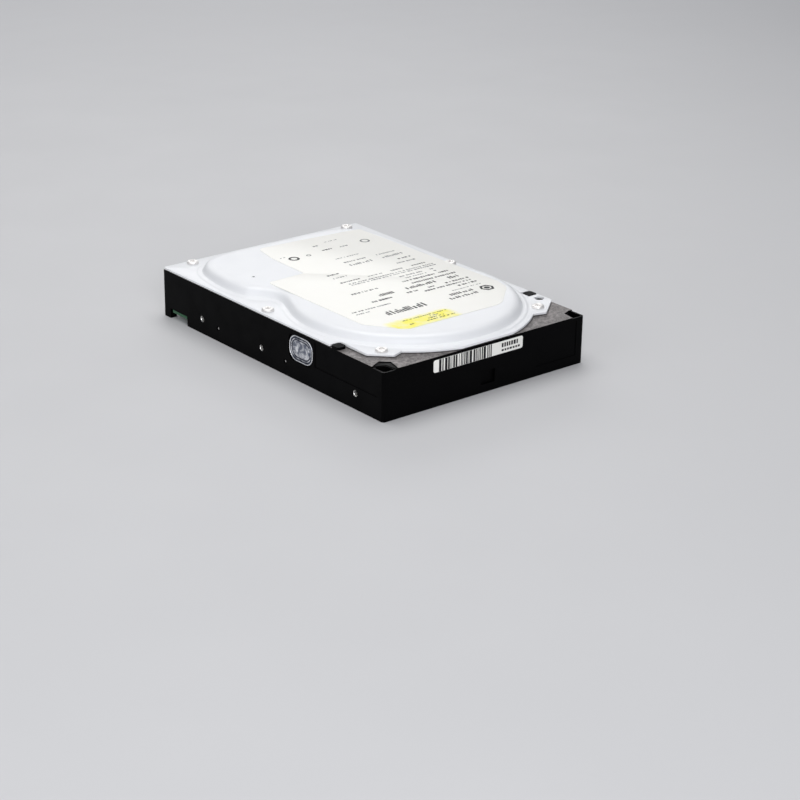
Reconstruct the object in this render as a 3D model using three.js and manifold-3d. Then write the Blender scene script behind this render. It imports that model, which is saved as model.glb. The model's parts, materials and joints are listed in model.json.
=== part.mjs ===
// A 3.5-inch hard disk drive: casting, pressed cover, disc pack, actuator, coil motor and board.
// Millimetres, +Z up. The origin is under the middle of the drive, on the plane it rests on.
// -Y is the plain front end, +Y is the connector end.
import * as THREE from 'three';
import { mergeVertices } from 'three/addons/utils/BufferGeometryUtils.js';
import Module from 'manifold-3d';

const wasm = await Module();
wasm.setup();

// Envelope of the form factor.
const WIDTH = 101.6;
const LENGTH = 147;
const HALF_WIDTH = WIDTH / 2;
const HALF_LENGTH = LENGTH / 2;
const LABEL_THICKNESS = 0.15;
const FRONT_FACE = -HALF_LENGTH + LABEL_THICKNESS;
const CORNER_RADIUS = 1.2;
const REAR_CORNER_RADIUS = 1;

// Heights.
const RIM = 20.2;
const FLOOR_BOTTOM = 5;
const FLOOR_TOP = 7;
const SHALLOW_BAY = 3;
const GASKET = 0.3;
const SHEET = 0.8;
const FLANGE_BOTTOM = RIM + GASKET;
const FLANGE_TOP = FLANGE_BOTTOM + SHEET;
const COVER_TOP = 25.2;
const TOTAL_HEIGHT = 25.4;

// Gaps between pieces. OVERLAP is how far two solids of one piece run into each other.
const SEAT = 0.02;
const TOUCH = 0.3;
const RUNNING_GAP = 0.15;
const OVERLAP = 0.2;
const FRONT_LIP = 0.05;

// Disc pack.
const SPINDLE = { x: 0, y: -23.6 };
const CHAMBER_RADIUS = 48;
const PLATTER_RADIUS = 47.5;
const PLATTER_BORE = 12.5;
const PLATTER_THICKNESS = 1.27;
const LOWER_PLATTER = 10.6;
const UPPER_PLATTER = 14.8;
const HUB_RADIUS = 12.35;
const HUB_FLANGE_RADIUS = 15;
const HUB_BOTTOM = 8.6;
const HUB_TOP = 16.3;
const CLAMP_RADIUS = 16;
const CLAMP_TOP = 17.3;
const CLAMP_SCREW_CIRCLE = 8.8;
const CLAMP_SCREWS = 3;
const CLAMP_SCREW = { head: 1.7, headHeight: 0.9, shank: 0.8, thread: 1, tip: 13, clearance: 1.1 };
const CLAMP_LIP = 13;
const CLAMP_WEB = 13.5;
const CLAMP_BORE = 3.5;
const SPACER_OUTER = 15.8;
const MOTOR_HOLE = 12.3;
const MOTOR_BOSS = 15.5;
const SHAFT_RADIUS = 2;
const SHAFT_HEIGHTS = [2.5, 16.9];
const THREAD_ROOM = 0.4;

// Actuator. The arm turns about the pivot, from its parking place near the hub out to the disc edge.
const PIVOT = { x: -24, y: 28 };
const PARK_ANGLE = THREE.MathUtils.degToRad(-85.9);
const PIVOT_SHAFT_RADIUS = 2.5;
const SLEEVE_RADIUS = 5.6;
const BLOCK_RADIUS = 8.4;
const BLOCK_BOTTOM = 8.3;
const BLOCK_TOP = 18.4;
const ARM_THICKNESS = 0.9;
const ARM_TO_DISC = 1.015;
const ARM_LENGTH = 36;
const HEAD_REACH = 50;
const COIL_BOTTOM = 11.7;
const COIL_TOP = 14.3;
const COIL_SETBACK = 0.1;
const COIL_LOOP = [[-12.3, 3.4, 1.5], [-27.5, 8.2, 2.5], [-27.5, -8.2, 2.5], [-12.3, -3.4, 1.5]];
const COIL_EYE = [[-16, 0.9, 0.5], [-24, 3.4, 1], [-24, -3.4, 1], [-16, -0.9, 0.5]];
const FORK_BAR = [[-4, 1.9], [-4, 5], [-25.8, 10.4], [-26.5, 8.3]];
const LOAD_BEAM = {
  root: 28,
  bend: 34,
  width: 2.4,
  tipWidth: 0.8,
  thickness: 0.3,
  armGap: 0.05,
  tipLift: 0.2,
  pastHead: 1,
  slider: 2,
  sliderBack: 2.4,
};
const ARM_OUTLINE = [
  [0, -7], [14, -5, 3], [ARM_LENGTH, -3, 2.5], [ARM_LENGTH, 3, 2.5], [14, 5, 3], [0, 7],
];
const ARM_WINDOW = [[13, -2.2, 1], [28, -1, 0.9], [28, 1, 0.9], [13, 2.2, 1]];
const SLEEVE_BORE = 2.75;
const SLEEVE_HEIGHTS = [8.3, 18.8];
const PIVOT_SHAFT_HEIGHTS = [6.1, 19.4];

// Voice coil motor, as sectors about the pivot, in degrees from +X.
const PLATE_SECTOR = { inner: 11, outer: 30.5, from: 31, to: 128 };
const MAGNET_SECTOR = { inner: 13, outer: 28, from: 48, to: 111 };
const LOWER_PLATE = [FLOOR_TOP + SEAT, 9.3];
const LOWER_MAGNET = [9.3 + SEAT, 10.9];
const UPPER_MAGNET = [15.1, 16.7 - SEAT];
const UPPER_PLATE = [16.7, 18.7];
const PILLAR_CIRCLE = 26.5;
const PILLAR_RADIUS = 1.6;
const STOP_RADIUS = 2.4;
const STOP_ANGLES = { inner: 122.2, outer: 36.6 };
const STOP_HEIGHTS = [11, 15];

// Flexible circuit from the arm to the bracket that passes its wires to the board.
const FLEX_ROUTE = [[-15, 26.4], [-9, 24.6], [-2, 27], [2, 32], [8, 35], [12, 38], [13, 41.6]];
const FLEX_STEPS = 20;
const FLEX_THICKNESS = 0.3;
const FLEX_HEIGHTS = [10.5, 15.5];
const BRACKET = { x: [8, 30], y: [42, 54], footTop: 9.4, wallFront: 52, wallTop: 15 };
const FILTER = { x: [31, 41], y: [24, 27], top: 18 };

// Standard fixing holes, measured from the connector end.
const FIXING_RADIUS = 1.4;
const FIXING_DEPTH = 3.8;
const SIDE_HOLE_HEIGHT = 6.35;
const SIDE_HOLES = [28.5, 70.1, 130.1];
const BOTTOM_HOLES = [41.28, 85.73, 117.48];
const BOTTOM_HOLE_X = 47.625;
const BOTTOM_BOSS = 4.4;
const RAIL_INNER = 46.9;

// Cover screws.
const SCREW_HEAD_RADIUS = 2.5;
const SCREW_HEAD_HEIGHT = 1.1;
const SCREW_RADIUS = 1.3;
const SCREW_HOLE = 1.6;
const SCREW_TIP = 14;
const SCREW_HOLE_BOTTOM = 13.5;
const SCREW_SOCKET_RADIUS = 1.1;
const SCREW_SOCKET_FLOOR = 0.4;
const COVER_SCREWS = {
  cover_screw_left_mid: [-47.4, 3.4],
  cover_screw_right_mid: [47.4, 4.1],
  cover_screw_front_left: [-39.7, -58.3],
  cover_screw_front_right: [39.7, -58.3],
  cover_screw_rear_left: [-38.4, 69.6],
  cover_screw_rear_right: [43, 69.6],
};
const SCREW_BOSS = 4.4;

// Locating posts that stand in the notches of the cover.
const POST_INNER = 46.6;
const POST_FRONT = -46;
const POST_REAR = -41.6;
const POST_CORNER = 1;

// Recesses and marks of the outer faces: ranges across the face, depth below it.
const SEAL_SEAT = { y: [-30.4, -14.8], z: [7.6, 18.8], corner: 3, depth: 0.4 };
const WRITER_WINDOW = { y: [-27, -18], z: [10, 16.5], corner: 2, depth: 4 };
const SEAL = { y: [-30, -15.2], z: [8, 18.4], corner: 2.8, thickness: 0.36 };
const LEFT_PANEL = { y: [-69.4, -31.5], z: [9, 19], depth: 0.2 };
const FRONT_PANEL = { x: [25.5, 46.8], z: [4, 18.6], depth: 0.2 };
const FRONT_POCKET = { x: [-2.7, 4.1], z: [3.3, 8.7], depth: 1 };
const SIDE_DIMPLES = { rows: [33.7, -12.3], height: 5.5, radius: 0.9, depth: 0.6 };
const CORNER_STEP = { floor: 19.7, corners: [[51.8, -66.4], [48.8, -66.2], [45.2, -67.8], [44.2, -74.5]] };
const CORNER_POCKET = {
  floor: 17,
  corners: [[50, -66.9], [48.8, -66.7], [45.8, -68.2], [45, -72.6], [49.2, -72.6], [50, -71.8]],
};
const CORNER_LEDGE = { floor: 19.9, corners: [[51.8, -66.9], [45.4, -63.8], [42, -66.7], [44.1, -74.5]] };
const FRONT_STICKER = { x: [-26.9, 18], z: [14, 19], corner: 0.9 };

// Rooms inside and under the casting.
const ROOM = { left: -46, right: 44, front: -10, rear: 61, leftCorner: 14, rightCorner: 12 };
const UNDERSIDE = { front: -69, deepFront: -14, railNotch: [56, 68.5], railNotchTop: 4.3 };
const MOTOR_BOSS_FOOT = 1.2;
const BOARD_BOSS_RADIUS = 2.8;
const PIVOT_BOSS_RADIUS = 5;
const PIVOT_BOSS_TOP = 8;
const PIVOT_SOCKET_BOTTOM = 6;

// Cover sheet.
const COVER_REAR = 73;
const COVER_FRONT_ARC = 51.3;
const NOTCH = { rear: -41, front: -46.4, side: 46 };
const EAR_REAR = { left: -57, right: -54.6 };
const EAR_FRONT = -64.3;
const EAR_SIDE = { left: -38.3, right: 38.8 };
const FRONT_ARC_SPAN = { left: -130.5, right: -49.5 };
const FLANGE_CORNER = 1;
const EAR_CORNER = 1.5;
const NOTCH_CORNER = 0.4;
const DOME = {
  radius: 46.6,
  from: 154.5,
  to: 379,
  wallRun: 1.6,
  shoulder: 0.5,
  shoulderDrop: 0.8,
  innerSetback: 0.48,
};
const DOME_REAR = [
  [41.6, 3], [43.6, 15], [44.4, 35], [42.6, 54], [36, 62], [25, 65.8], [0, 66], [-25, 65.8],
  [-37, 62.2], [-43.8, 53], [-46.6, 36], [-45.4, 23], [-40.6, 16.4], [-38, 8],
];
const TAB_HOLE = { x: 47.6, y: -50.6, radius: 2, depth: 5 };
const GASKET_EDGE = 0.7;
const GASKET_TO_DOME = 1;

// Product label: corners as x, y, radius.
const LABEL_CORNERS = [
  [-24, -54.5, 5], [24, -54.5, 10], [38.6, -41, 6], [40.6, -33, 2], [38.6, 55, 2], [8, 57.6, 2],
  [-12.6, 58.6, 3], [-15.3, 45, 2], [-16, 21.6, 1.5], [-34.6, 21, 2], [-34.6, -40, 6],
];

// Spindle motor below the hub.
const MOTOR_PLATE = [1.6, 3.2];
const MOTOR_PLATE_SKIN = 0.8;
const MOTOR_TUBE = { radius: 4.2, top: 7.4 };
const STATOR = { teeth: 9, bore: 4.5, bottom: 3.8, top: 6.8 };
const STATOR_TOOTH = [
  [6.2, -9], [8.6, -6], [9.2, -15], [9.8, -14], [9.8, 14], [9.2, 15], [8.6, 6], [6.2, 9],
];
const ROTOR = { inner: 10.2, outer: 11.4, bottom: 3.8 };
const BEARING_OUTER = 5.2;
const HUB_BORE = 5.4;
const BEARINGS = { spindle_bearing_lower: [8.8, 11.3], spindle_bearing_upper: [13.4, 15.9] };

// Circuit board and the connectors along its rear edge.
const BOARD_BOTTOM = 2.6;
const BOARD_TOP = 3.8;
const BOARD_FRONT = -12;
const BOARD_REAR = 72.8;
const BOARD_HALF_WIDTH = 46.4;
const BOARD_CORNER = 1.5;
const BOARD_BOSS_GAP = 0.5;
const BOARD_MOTOR_GAP = 1;
const BOARD_SCREWS = {
  board_screw_front_left: [-40, 8],
  board_screw_front_right: [40, 8],
  board_screw_rear_left: [-40, 50],
  board_screw_rear_right: [40, 50],
};
const BOARD_SCREW_HOLE = 1.4;
const BOARD_SCREW_TIP = 6;
const BOARD_SCREW_RADIUS = 1.1;
const BOARD_SCREW_HEAD = { radius: 2.2, height: 1, socketRadius: 0.9, socketDepth: 0.5 };
const BAY_FRONT = 62.8;
const BAY_TOP = 13.4;
const BAY_LEFT = -47.8;
const BAY_RIGHT = 48.8;
const CONNECTOR_FRONT = 63.2;
const CONNECTOR_REAR = 73.3;
const CONNECTOR_BASE = BOARD_TOP + SEAT;
const BOARD_EAR = { x: -50.3, y: [57, 67.5] };
const HEADER = { x: [-9.6, 48], top: 12.6, cavityX: [-7.9, 46.3], cavityZ: [5, 11.4], back: 2.4 };
const KEYWAY = [17, 21.4];
const SOCKET = { x: [-47, -24.6], top: 13, back: 2.2 };
const SOCKET_CAVITY = [[-45.6, 5.2], [-26, 5.2], [-26, 9.4], [-28.4, 11.8], [-43.2, 11.8], [-45.6, 9.4]];
const OPTION_BLOCK = { x: [-23.4, -10.8], rear: 66.6, top: 9.4 };
const JUMPER = { x: [-16, -13.6], y: [67, 72.9], z: [4.4, 9.3] };
const CHIPS = {
  controller_chip: { x: [-20, 0], y: [14, 34], corner: 0.6, underside: 1.2 },
  memory_chip: { x: [10, 28], y: [26, 35], corner: 0.4, underside: 1.4 },
  motor_driver_chip: { x: [4, 14], y: [0, 10], corner: 0.4, underside: 1.4 },
};
const FOAM = { x: [-36, 36], y: [-4, 55], corner: 2, top: 4.9 };

const DEG = Math.PI / 180;
const group = new THREE.Group();

// ---- Outlines -------------------------------------------------------------------------------------

function polar(centre, radius, degrees) {
  return new THREE.Vector2(
    centre.x + radius * Math.cos(degrees * DEG),
    centre.y + radius * Math.sin(degrees * DEG),
  );
}

// The places in a table of named [x, y] pairs.
function pointsOf(table) {
  return Object.values(table).map(([x, y]) => ({ x, y }));
}

function arc(centre, radius, from, to, steps) {
  const step = (to - from) / steps;
  return Array.from({ length: steps + 1 }, (_, i) => polar(centre, radius, from + step * i));
}

function circle(centre, radius, steps) {
  return arc(centre, radius, 0, 360, steps).slice(0, -1);
}

function sector({ inner, outer, from, to }, steps) {
  return [...arc(PIVOT, outer, from, to, steps), ...arc(PIVOT, inner, to, from, steps)];
}

// Corners are [x, y, radius]; a corner with a radius becomes an arc.
function filleted(corners, steps = 4) {
  const at = (i) => new THREE.Vector2(corners.at(i)[0], corners.at(i)[1]);
  return corners.flatMap(([, , radius = 0], i) => {
    const corner = at(i);
    if (radius === 0) return [corner];
    const toBefore = at(i - 1).sub(corner).normalize();
    const toAfter = at((i + 1) % corners.length).sub(corner).normalize();
    const half = Math.acos(toBefore.dot(toAfter)) / 2;
    const centre = toBefore.clone().add(toAfter).setLength(radius / Math.sin(half)).add(corner);
    const start = toBefore.setLength(radius / Math.tan(half)).add(corner).sub(centre).angle();
    const end = toAfter.setLength(radius / Math.tan(half)).add(corner).sub(centre).angle();
    const sweep = Math.atan2(Math.sin(end - start), Math.cos(end - start));
    return arc(centre, radius, start / DEG, (start + sweep) / DEG, steps);
  });
}

function rectangle(x0, x1, y0, y1, radius = 0) {
  return filleted([[x0, y0, radius], [x1, y0, radius], [x1, y1, radius], [x0, y1, radius]]);
}

// Moves each point of a closed counter-clockwise outline inwards.
function inset(points, distance) {
  return points.map((point, i) => {
    const along = points[(i + 1) % points.length].clone().sub(points.at(i - 1)).normalize();
    return new THREE.Vector2(point.x - along.y * distance, point.y + along.x * distance);
  });
}

// ---- Solids ---------------------------------------------------------------------------------------

function solidOf(geometry) {
  geometry.deleteAttribute('normal');
  geometry.deleteAttribute('uv');
  const merged = mergeVertices(geometry);
  return new wasm.Manifold(new wasm.Mesh({
    numProp: 3,
    vertProperties: merged.attributes.position.array,
    triVerts: new Uint32Array(merged.index.array),
  }));
}

function geometryOf(solid) {
  const mesh = solid.getMesh();
  const geometry = new THREE.BufferGeometry();
  geometry.setAttribute('position', new THREE.BufferAttribute(mesh.vertProperties, 3));
  geometry.setIndex(new THREE.BufferAttribute(mesh.triVerts, 1));
  geometry.computeVertexNormals();
  return geometry;
}

function prism(points, bottom, top) {
  const shape = new THREE.Shape(points);
  return solidOf(new THREE.ExtrudeGeometry(shape, { depth: top - bottom, bevelEnabled: false })
    .translate(0, 0, bottom));
}

function rod(centre, radius, bottom, top, steps = 20) {
  return prism(circle(centre, radius, steps), bottom, top);
}

function ring(centre, inner, outer, bottom, top, steps = 36) {
  return rod(centre, outer, bottom, top, steps).subtract(rod(centre, inner, bottom - 1, top + 1, steps));
}

function block(x0, x1, y0, y1, z0, z1) {
  return solidOf(new THREE.BoxGeometry(x1 - x0, y1 - y0, z1 - z0)
    .translate((x0 + x1) / 2, (y0 + y1) / 2, (z0 + z1) / 2));
}

function rodAlongX(y, z, radius, x0, x1, steps = 16) {
  return solidOf(new THREE.CylinderGeometry(radius, radius, x1 - x0, steps)
    .rotateZ(Math.PI / 2)
    .translate((x0 + x1) / 2, y, z));
}

// Outline in Y and Z, pushed along X.
function prismAlongX(points, x0, x1) {
  const shape = new THREE.Shape(points);
  return solidOf(new THREE.ExtrudeGeometry(shape, { depth: x1 - x0, bevelEnabled: false })
    .rotateX(Math.PI / 2)
    .rotateZ(Math.PI / 2)
    .translate(x0, 0, 0));
}

// Outline in X and Z, pushed along +Y from y0 to y1.
function prismAlongY(points, y0, y1) {
  const shape = new THREE.Shape(points);
  return solidOf(new THREE.ExtrudeGeometry(shape, { depth: y1 - y0, bevelEnabled: false })
    .rotateX(Math.PI / 2)
    .translate(0, y1, 0));
}

// Closed skin through outlines that all have the same number of points.
function loft(outlines, heights) {
  const count = outlines[0].length;
  const positions = outlines.flatMap((points, k) => points.flatMap(({ x, y }) => [x, y, heights[k]]));
  const faces = [];
  for (let k = 0; k + 1 < outlines.length; k += 1) {
    for (let i = 0; i < count; i += 1) {
      const next = (i + 1) % count;
      const low = k * count;
      const high = low + count;
      faces.push(low + i, low + next, high + next, low + i, high + next, high + i);
    }
  }
  const last = (outlines.length - 1) * count;
  for (const [a, b, c] of THREE.ShapeUtils.triangulateShape(outlines[0], [])) faces.push(a, c, b);
  for (const [a, b, c] of THREE.ShapeUtils.triangulateShape(outlines.at(-1), [])) {
    faces.push(last + a, last + b, last + c);
  }
  const geometry = new THREE.BufferGeometry();
  geometry.setAttribute('position', new THREE.Float32BufferAttribute(positions, 3));
  geometry.setIndex(faces);
  return solidOf(geometry);
}

function join(solids) {
  return solids.reduce((sum, solid) => sum.add(solid));
}

function cut(solid, tools) {
  return tools.reduce((rest, tool) => rest.subtract(tool), solid);
}

// ---- Finishes -------------------------------------------------------------------------------------

const FINISHES = {
  blackPaint: [0x101012, 0.35, 0.2],
  silverCover: [0xd9dbdd, 0.4, 0.6],
  rubber: [0x161616, 0.8, 0],
  steel: [0xb4b2ac, 0.3, 0.9],
  paper: [0xf4f1e4, 0.6, 0],
  foil: [0xaab4cc, 0.3, 0.8],
  aluminium: [0xc6c8cb, 0.35, 0.9],
  disc: [0xd4d4d8, 0.05, 1],
  magnet: [0xa9abb0, 0.2, 1],
  copper: [0xb56a35, 0.4, 0.8],
  flex: [0xb9792c, 0.4, 0],
  filter: [0xeeeeea, 0.9, 0],
  board: [0x1c5a30, 0.5, 0],
  foam: [0x3a3a3c, 0.95, 0],
  chip: [0x1b1b1d, 0.6, 0],
  blackPlastic: [0x141416, 0.5, 0],
  whitePlastic: [0xe6e2d4, 0.45, 0],
};

function place(name, solid, finish, parent = group) {
  const [color, roughness, metalness] = FINISHES[finish];
  const mesh = new THREE.Mesh(
    geometryOf(solid),
    new THREE.MeshStandardMaterial({ color, roughness, metalness }),
  );
  mesh.name = name;
  parent.add(mesh);
}

// ---- Base casting ---------------------------------------------------------------------------------

function chamber() {
  const { left, right, front, rear, leftCorner, rightCorner } = ROOM;
  const round = rod(SPINDLE, CHAMBER_RADIUS, FLOOR_TOP, RIM + 1, 60);
  const rearRoom = prism(
    filleted([[left, front], [right, front], [right, rear, rightCorner], [left, rear, leftCorner]], 8),
    FLOOR_TOP,
    RIM + 1,
  );
  const bosses = ['cover_screw_left_mid', 'cover_screw_right_mid'].map((name) => {
    const [x, y] = COVER_SCREWS[name];
    return rod({ x, y }, SCREW_BOSS, FLOOR_TOP - 1, RIM + 2);
  });
  return cut(round.add(rearRoom), bosses);
}

function undersideBays() {
  const { front, deepFront, railNotch, railNotchTop } = UNDERSIDE;
  return join([
    block(BAY_LEFT, BAY_RIGHT, BAY_FRONT, HALF_LENGTH + 1, -1, BAY_TOP),
    block(-RAIL_INNER, RAIL_INNER, front, deepFront + 1, -1, SHALLOW_BAY),
    block(-RAIL_INNER, RAIL_INNER, deepFront, BAY_FRONT + 1, -1, FLOOR_BOTTOM),
    block(-HALF_WIDTH - 1, -RAIL_INNER + 1, ...railNotch, -1, railNotchTop),
  ]);
}

function bottomHoleCentres() {
  return BOTTOM_HOLES.flatMap((fromRear) => [-BOTTOM_HOLE_X, BOTTOM_HOLE_X]
    .map((x) => ({ x, y: HALF_LENGTH - fromRear })));
}

function undersideBosses() {
  const top = FLOOR_BOTTOM + 1;
  const fixing = bottomHoleCentres().map((centre) => rod(centre, BOTTOM_BOSS, 0, top));
  const board = pointsOf(BOARD_SCREWS)
    .map((centre) => rod(centre, BOARD_BOSS_RADIUS, CONNECTOR_BASE, top, 16));
  const motor = rod(SPINDLE, MOTOR_BOSS, MOTOR_BOSS_FOOT, top, 40);
  return join([...fixing, ...board, motor]).intersect(
    block(-HALF_WIDTH, HALF_WIDTH, -HALF_LENGTH, HALF_LENGTH, 0, top),
  );
}

function fixingHoles() {
  const side = SIDE_HOLES.flatMap((fromRear) => [-1, 1].map((hand) => {
    const inner = hand * (HALF_WIDTH - FIXING_DEPTH);
    const outer = hand * (HALF_WIDTH + 1);
    const y = HALF_LENGTH - fromRear;
    return rodAlongX(y, SIDE_HOLE_HEIGHT, FIXING_RADIUS, Math.min(inner, outer), Math.max(inner, outer));
  }));
  const bottom = bottomHoleCentres().map((centre) => rod(centre, FIXING_RADIUS, -1, FIXING_DEPTH, 16));
  return [...side, ...bottom];
}

function screwHoles() {
  const cover = pointsOf(COVER_SCREWS)
    .map((centre) => rod(centre, SCREW_HOLE, SCREW_HOLE_BOTTOM, RIM + 1, 12));
  const board = pointsOf(BOARD_SCREWS)
    .map((centre) => rod(centre, BOARD_SCREW_HOLE, 0, BOARD_SCREW_TIP + OVERLAP, 12));
  return [...cover, ...board];
}

// A pocket let into a side face (hand -1 is the left) between ranges of Y and Z.
function sidePocket(hand, { y, z, corner = 0, depth }) {
  const outline = rectangle(...y, ...z, corner);
  const faces = [hand * (HALF_WIDTH - depth), hand * (HALF_WIDTH + 1)].sort((a, b) => a - b);
  return prismAlongX(outline, ...faces);
}

// Cut in a front corner, given for the right hand and mirrored for hand -1.
function cornerCut(hand, { floor, corners }) {
  const outline = corners.map(([x, y]) => new THREE.Vector2(hand * x, y));
  return prism(hand > 0 ? outline.reverse() : outline, floor, RIM + 1);
}

// Each front corner is a step with a closed pocket in it; a ledge frames the left one.
function cornerCuts() {
  const beyond = [HALF_WIDTH + 1, -HALF_LENGTH - 1];
  const open = ({ floor, corners }) => ({ floor, corners: [...corners, beyond] });
  const steps = [-1, 1].flatMap((hand) => [
    cornerCut(hand, open(CORNER_STEP)),
    cornerCut(hand, CORNER_POCKET),
  ]);
  return [...steps, cornerCut(-1, open(CORNER_LEDGE))];
}

function faceRecesses() {
  const [panel, pocket] = [FRONT_PANEL, FRONT_POCKET]
    .map(({ x, z, depth }) => block(...x, FRONT_FACE - 1, FRONT_FACE + depth, ...z));
  const { rows, height, radius, depth } = SIDE_DIMPLES;
  const dimples = rows.map((y) => rodAlongX(y, height, radius, -HALF_WIDTH - 1, -HALF_WIDTH + depth, 12));
  const sidePockets = [SEAL_SEAT, WRITER_WINDOW, LEFT_PANEL].map((recess) => sidePocket(-1, recess));
  return [...sidePockets, panel, pocket, ...cornerCuts(), ...dimples];
}

function baseCasting() {
  const body = prism(filleted([
    [-HALF_WIDTH, FRONT_FACE, CORNER_RADIUS],
    [HALF_WIDTH, FRONT_FACE, CORNER_RADIUS],
    [HALF_WIDTH, HALF_LENGTH, REAR_CORNER_RADIUS],
    [-HALF_WIDTH, HALF_LENGTH, REAR_CORNER_RADIUS],
  ], 6), 0, RIM);
  const posts = [-1, 1].map((hand) => {
    const sides = [hand * POST_INNER, hand * HALF_WIDTH].sort((a, b) => a - b);
    return prism(rectangle(...sides, POST_FRONT, POST_REAR, POST_CORNER), RIM - 1, FLANGE_TOP);
  });
  const shell = body.subtract(undersideBays()).add(undersideBosses());
  const pivotBoss = rod(PIVOT, PIVOT_BOSS_RADIUS, FLOOR_TOP - 1, PIVOT_BOSS_TOP, 20);
  const solid = join([shell.subtract(chamber()), pivotBoss, ...posts]);
  return cut(solid, [
    ...fixingHoles(),
    ...screwHoles(),
    ...faceRecesses(),
    rod(TAB_HOLE, TAB_HOLE.radius, RIM - TAB_HOLE.depth, RIM + 1, 12),
    rod(SPINDLE, MOTOR_HOLE, 0, FLOOR_TOP + 1, 40),
    rod(PIVOT, PIVOT_SHAFT_RADIUS + TOUCH, PIVOT_SOCKET_BOTTOM, PIVOT_BOSS_TOP + 1),
  ]);
}

// ---- Cover, gasket, labels ------------------------------------------------------------------------

// Outline of the cover flange, counter-clockwise from the rear left corner, drawn in by edge.
function coverOutline(edge = 0) {
  const side = HALF_WIDTH - edge;
  const rear = COVER_REAR - edge;
  const notchRear = NOTCH.rear + edge;
  const notchFront = NOTCH.front - edge;
  const notchSide = NOTCH.side - edge;
  const tab = EAR_FRONT + edge;
  const frontArc = COVER_FRONT_ARC - edge;
  const frontFlat = FRONT_FACE + FRONT_LIP + edge;
  const halfFlat = Math.acos((SPINDLE.y - frontFlat) / frontArc) / DEG;
  const arcPoints = (from, to) => arc(SPINDLE, frontArc, from, to, 10).map(({ x, y }) => [x, y]);
  return filleted([
    [-side, rear, FLANGE_CORNER], [-side, notchRear, NOTCH_CORNER], [-notchSide, notchRear, NOTCH_CORNER],
    [-notchSide, EAR_REAR.left + edge, EAR_CORNER], [EAR_SIDE.left, tab, FLANGE_CORNER],
    ...arcPoints(FRONT_ARC_SPAN.left, -90 - halfFlat),
    ...arcPoints(-90 + halfFlat, FRONT_ARC_SPAN.right),
    [EAR_SIDE.right, tab, FLANGE_CORNER], [side, EAR_REAR.right, EAR_CORNER],
    [side, notchFront, NOTCH_CORNER], [notchSide, notchFront, NOTCH_CORNER],
    [notchSide, notchRear, NOTCH_CORNER], [side, notchRear, NOTCH_CORNER], [side, rear, FLANGE_CORNER],
  ], 3);
}

// Foot of the raised dome: round over the discs, then the rear block with a valley at each mid screw.
function domeOutline() {
  const { radius, from, to } = DOME;
  const rearStretch = new THREE.SplineCurve([
    polar(SPINDLE, radius, to),
    ...DOME_REAR.map(([x, y]) => new THREE.Vector2(x, y)),
    polar(SPINDLE, radius, from),
  ]);
  return [...arc(SPINDLE, radius, from, to, 36), ...rearStretch.getPoints(42).slice(1, -1)];
}

function flangeHoles(bottom, top) {
  const screws = pointsOf(COVER_SCREWS).map((centre) => rod(centre, SCREW_HOLE, bottom, top, 12));
  return [...screws, rod(TAB_HOLE, TAB_HOLE.radius, bottom, top, 12)];
}

function topCover() {
  const foot = domeOutline();
  const { wallRun, shoulder, shoulderDrop, innerSetback } = DOME;
  const outside = loft(
    [foot, inset(foot, wallRun - shoulder), inset(foot, wallRun)],
    [FLANGE_TOP - OVERLAP, COVER_TOP - shoulderDrop, COVER_TOP],
  );
  const inside = loft(
    [inset(foot, SHEET), inset(foot, wallRun + innerSetback)],
    [FLANGE_BOTTOM - 1, COVER_TOP - SHEET],
  );
  const flange = prism(coverOutline(), FLANGE_BOTTOM, FLANGE_TOP);
  return cut(flange.add(outside), [inside, ...flangeHoles(RIM, FLANGE_TOP + 1)]);
}

function coverGasket() {
  const outer = prism(coverOutline(GASKET_EDGE), RIM + SEAT, FLANGE_BOTTOM - SEAT);
  const inner = prism(inset(domeOutline(), -GASKET_TO_DOME), RIM - 1, FLANGE_BOTTOM + 1);
  return cut(outer, [inner, ...flangeHoles(RIM - 1, FLANGE_BOTTOM + 1)]);
}

function coverScrew([x, y]) {
  const head = rod({ x, y }, SCREW_HEAD_RADIUS, FLANGE_TOP + SEAT, FLANGE_TOP + SCREW_HEAD_HEIGHT, 20);
  const shank = rod({ x, y }, SCREW_RADIUS, SCREW_TIP, FLANGE_TOP + OVERLAP, 12);
  const socket = rod({ x, y }, SCREW_SOCKET_RADIUS, FLANGE_TOP + SCREW_SOCKET_FLOOR, FLANGE_TOP + 2, 6);
  return head.add(shank).subtract(socket);
}

function productLabel() {
  return prism(filleted(LABEL_CORNERS), COVER_TOP + SEAT, TOTAL_HEIGHT);
}

function frontLabel() {
  const { x, z, corner } = FRONT_STICKER;
  return prismAlongY(rectangle(...x, ...z, corner), -HALF_LENGTH, FRONT_FACE - SEAT);
}

function sideWindowSeal() {
  const { y, z, corner, thickness } = SEAL;
  const skin = -HALF_WIDTH + SEAT;
  return prismAlongX(rectangle(...y, ...z, corner), skin, skin + thickness);
}

// ---- Spindle motor and disc pack ------------------------------------------------------------------

function motorFlange() {
  const [bottom, top] = MOTOR_PLATE;
  const plate = rod(SPINDLE, MOTOR_HOLE - TOUCH, bottom, top, 40);
  const tube = rod(SPINDLE, MOTOR_TUBE.radius, top - OVERLAP, MOTOR_TUBE.top);
  const bore = rod(SPINDLE, SHAFT_RADIUS + OVERLAP, bottom + MOTOR_PLATE_SKIN, MOTOR_TUBE.top + 1);
  return plate.add(tube).subtract(bore);
}

function motorStator() {
  const { teeth, bore, bottom, top } = STATOR;
  const star = Array.from({ length: teeth }, (_, i) => STATOR_TOOTH
    .map(([radius, angle]) => polar(SPINDLE, radius, (i * 360) / teeth + angle))).flat();
  return prism(star, bottom, top).subtract(rod(SPINDLE, bore, bottom - 1, top + 1));
}

function clampScrewCentres() {
  const pitch = 360 / CLAMP_SCREWS;
  return Array.from({ length: CLAMP_SCREWS }, (_, i) => polar(SPINDLE, CLAMP_SCREW_CIRCLE, 90 + i * pitch));
}

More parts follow.
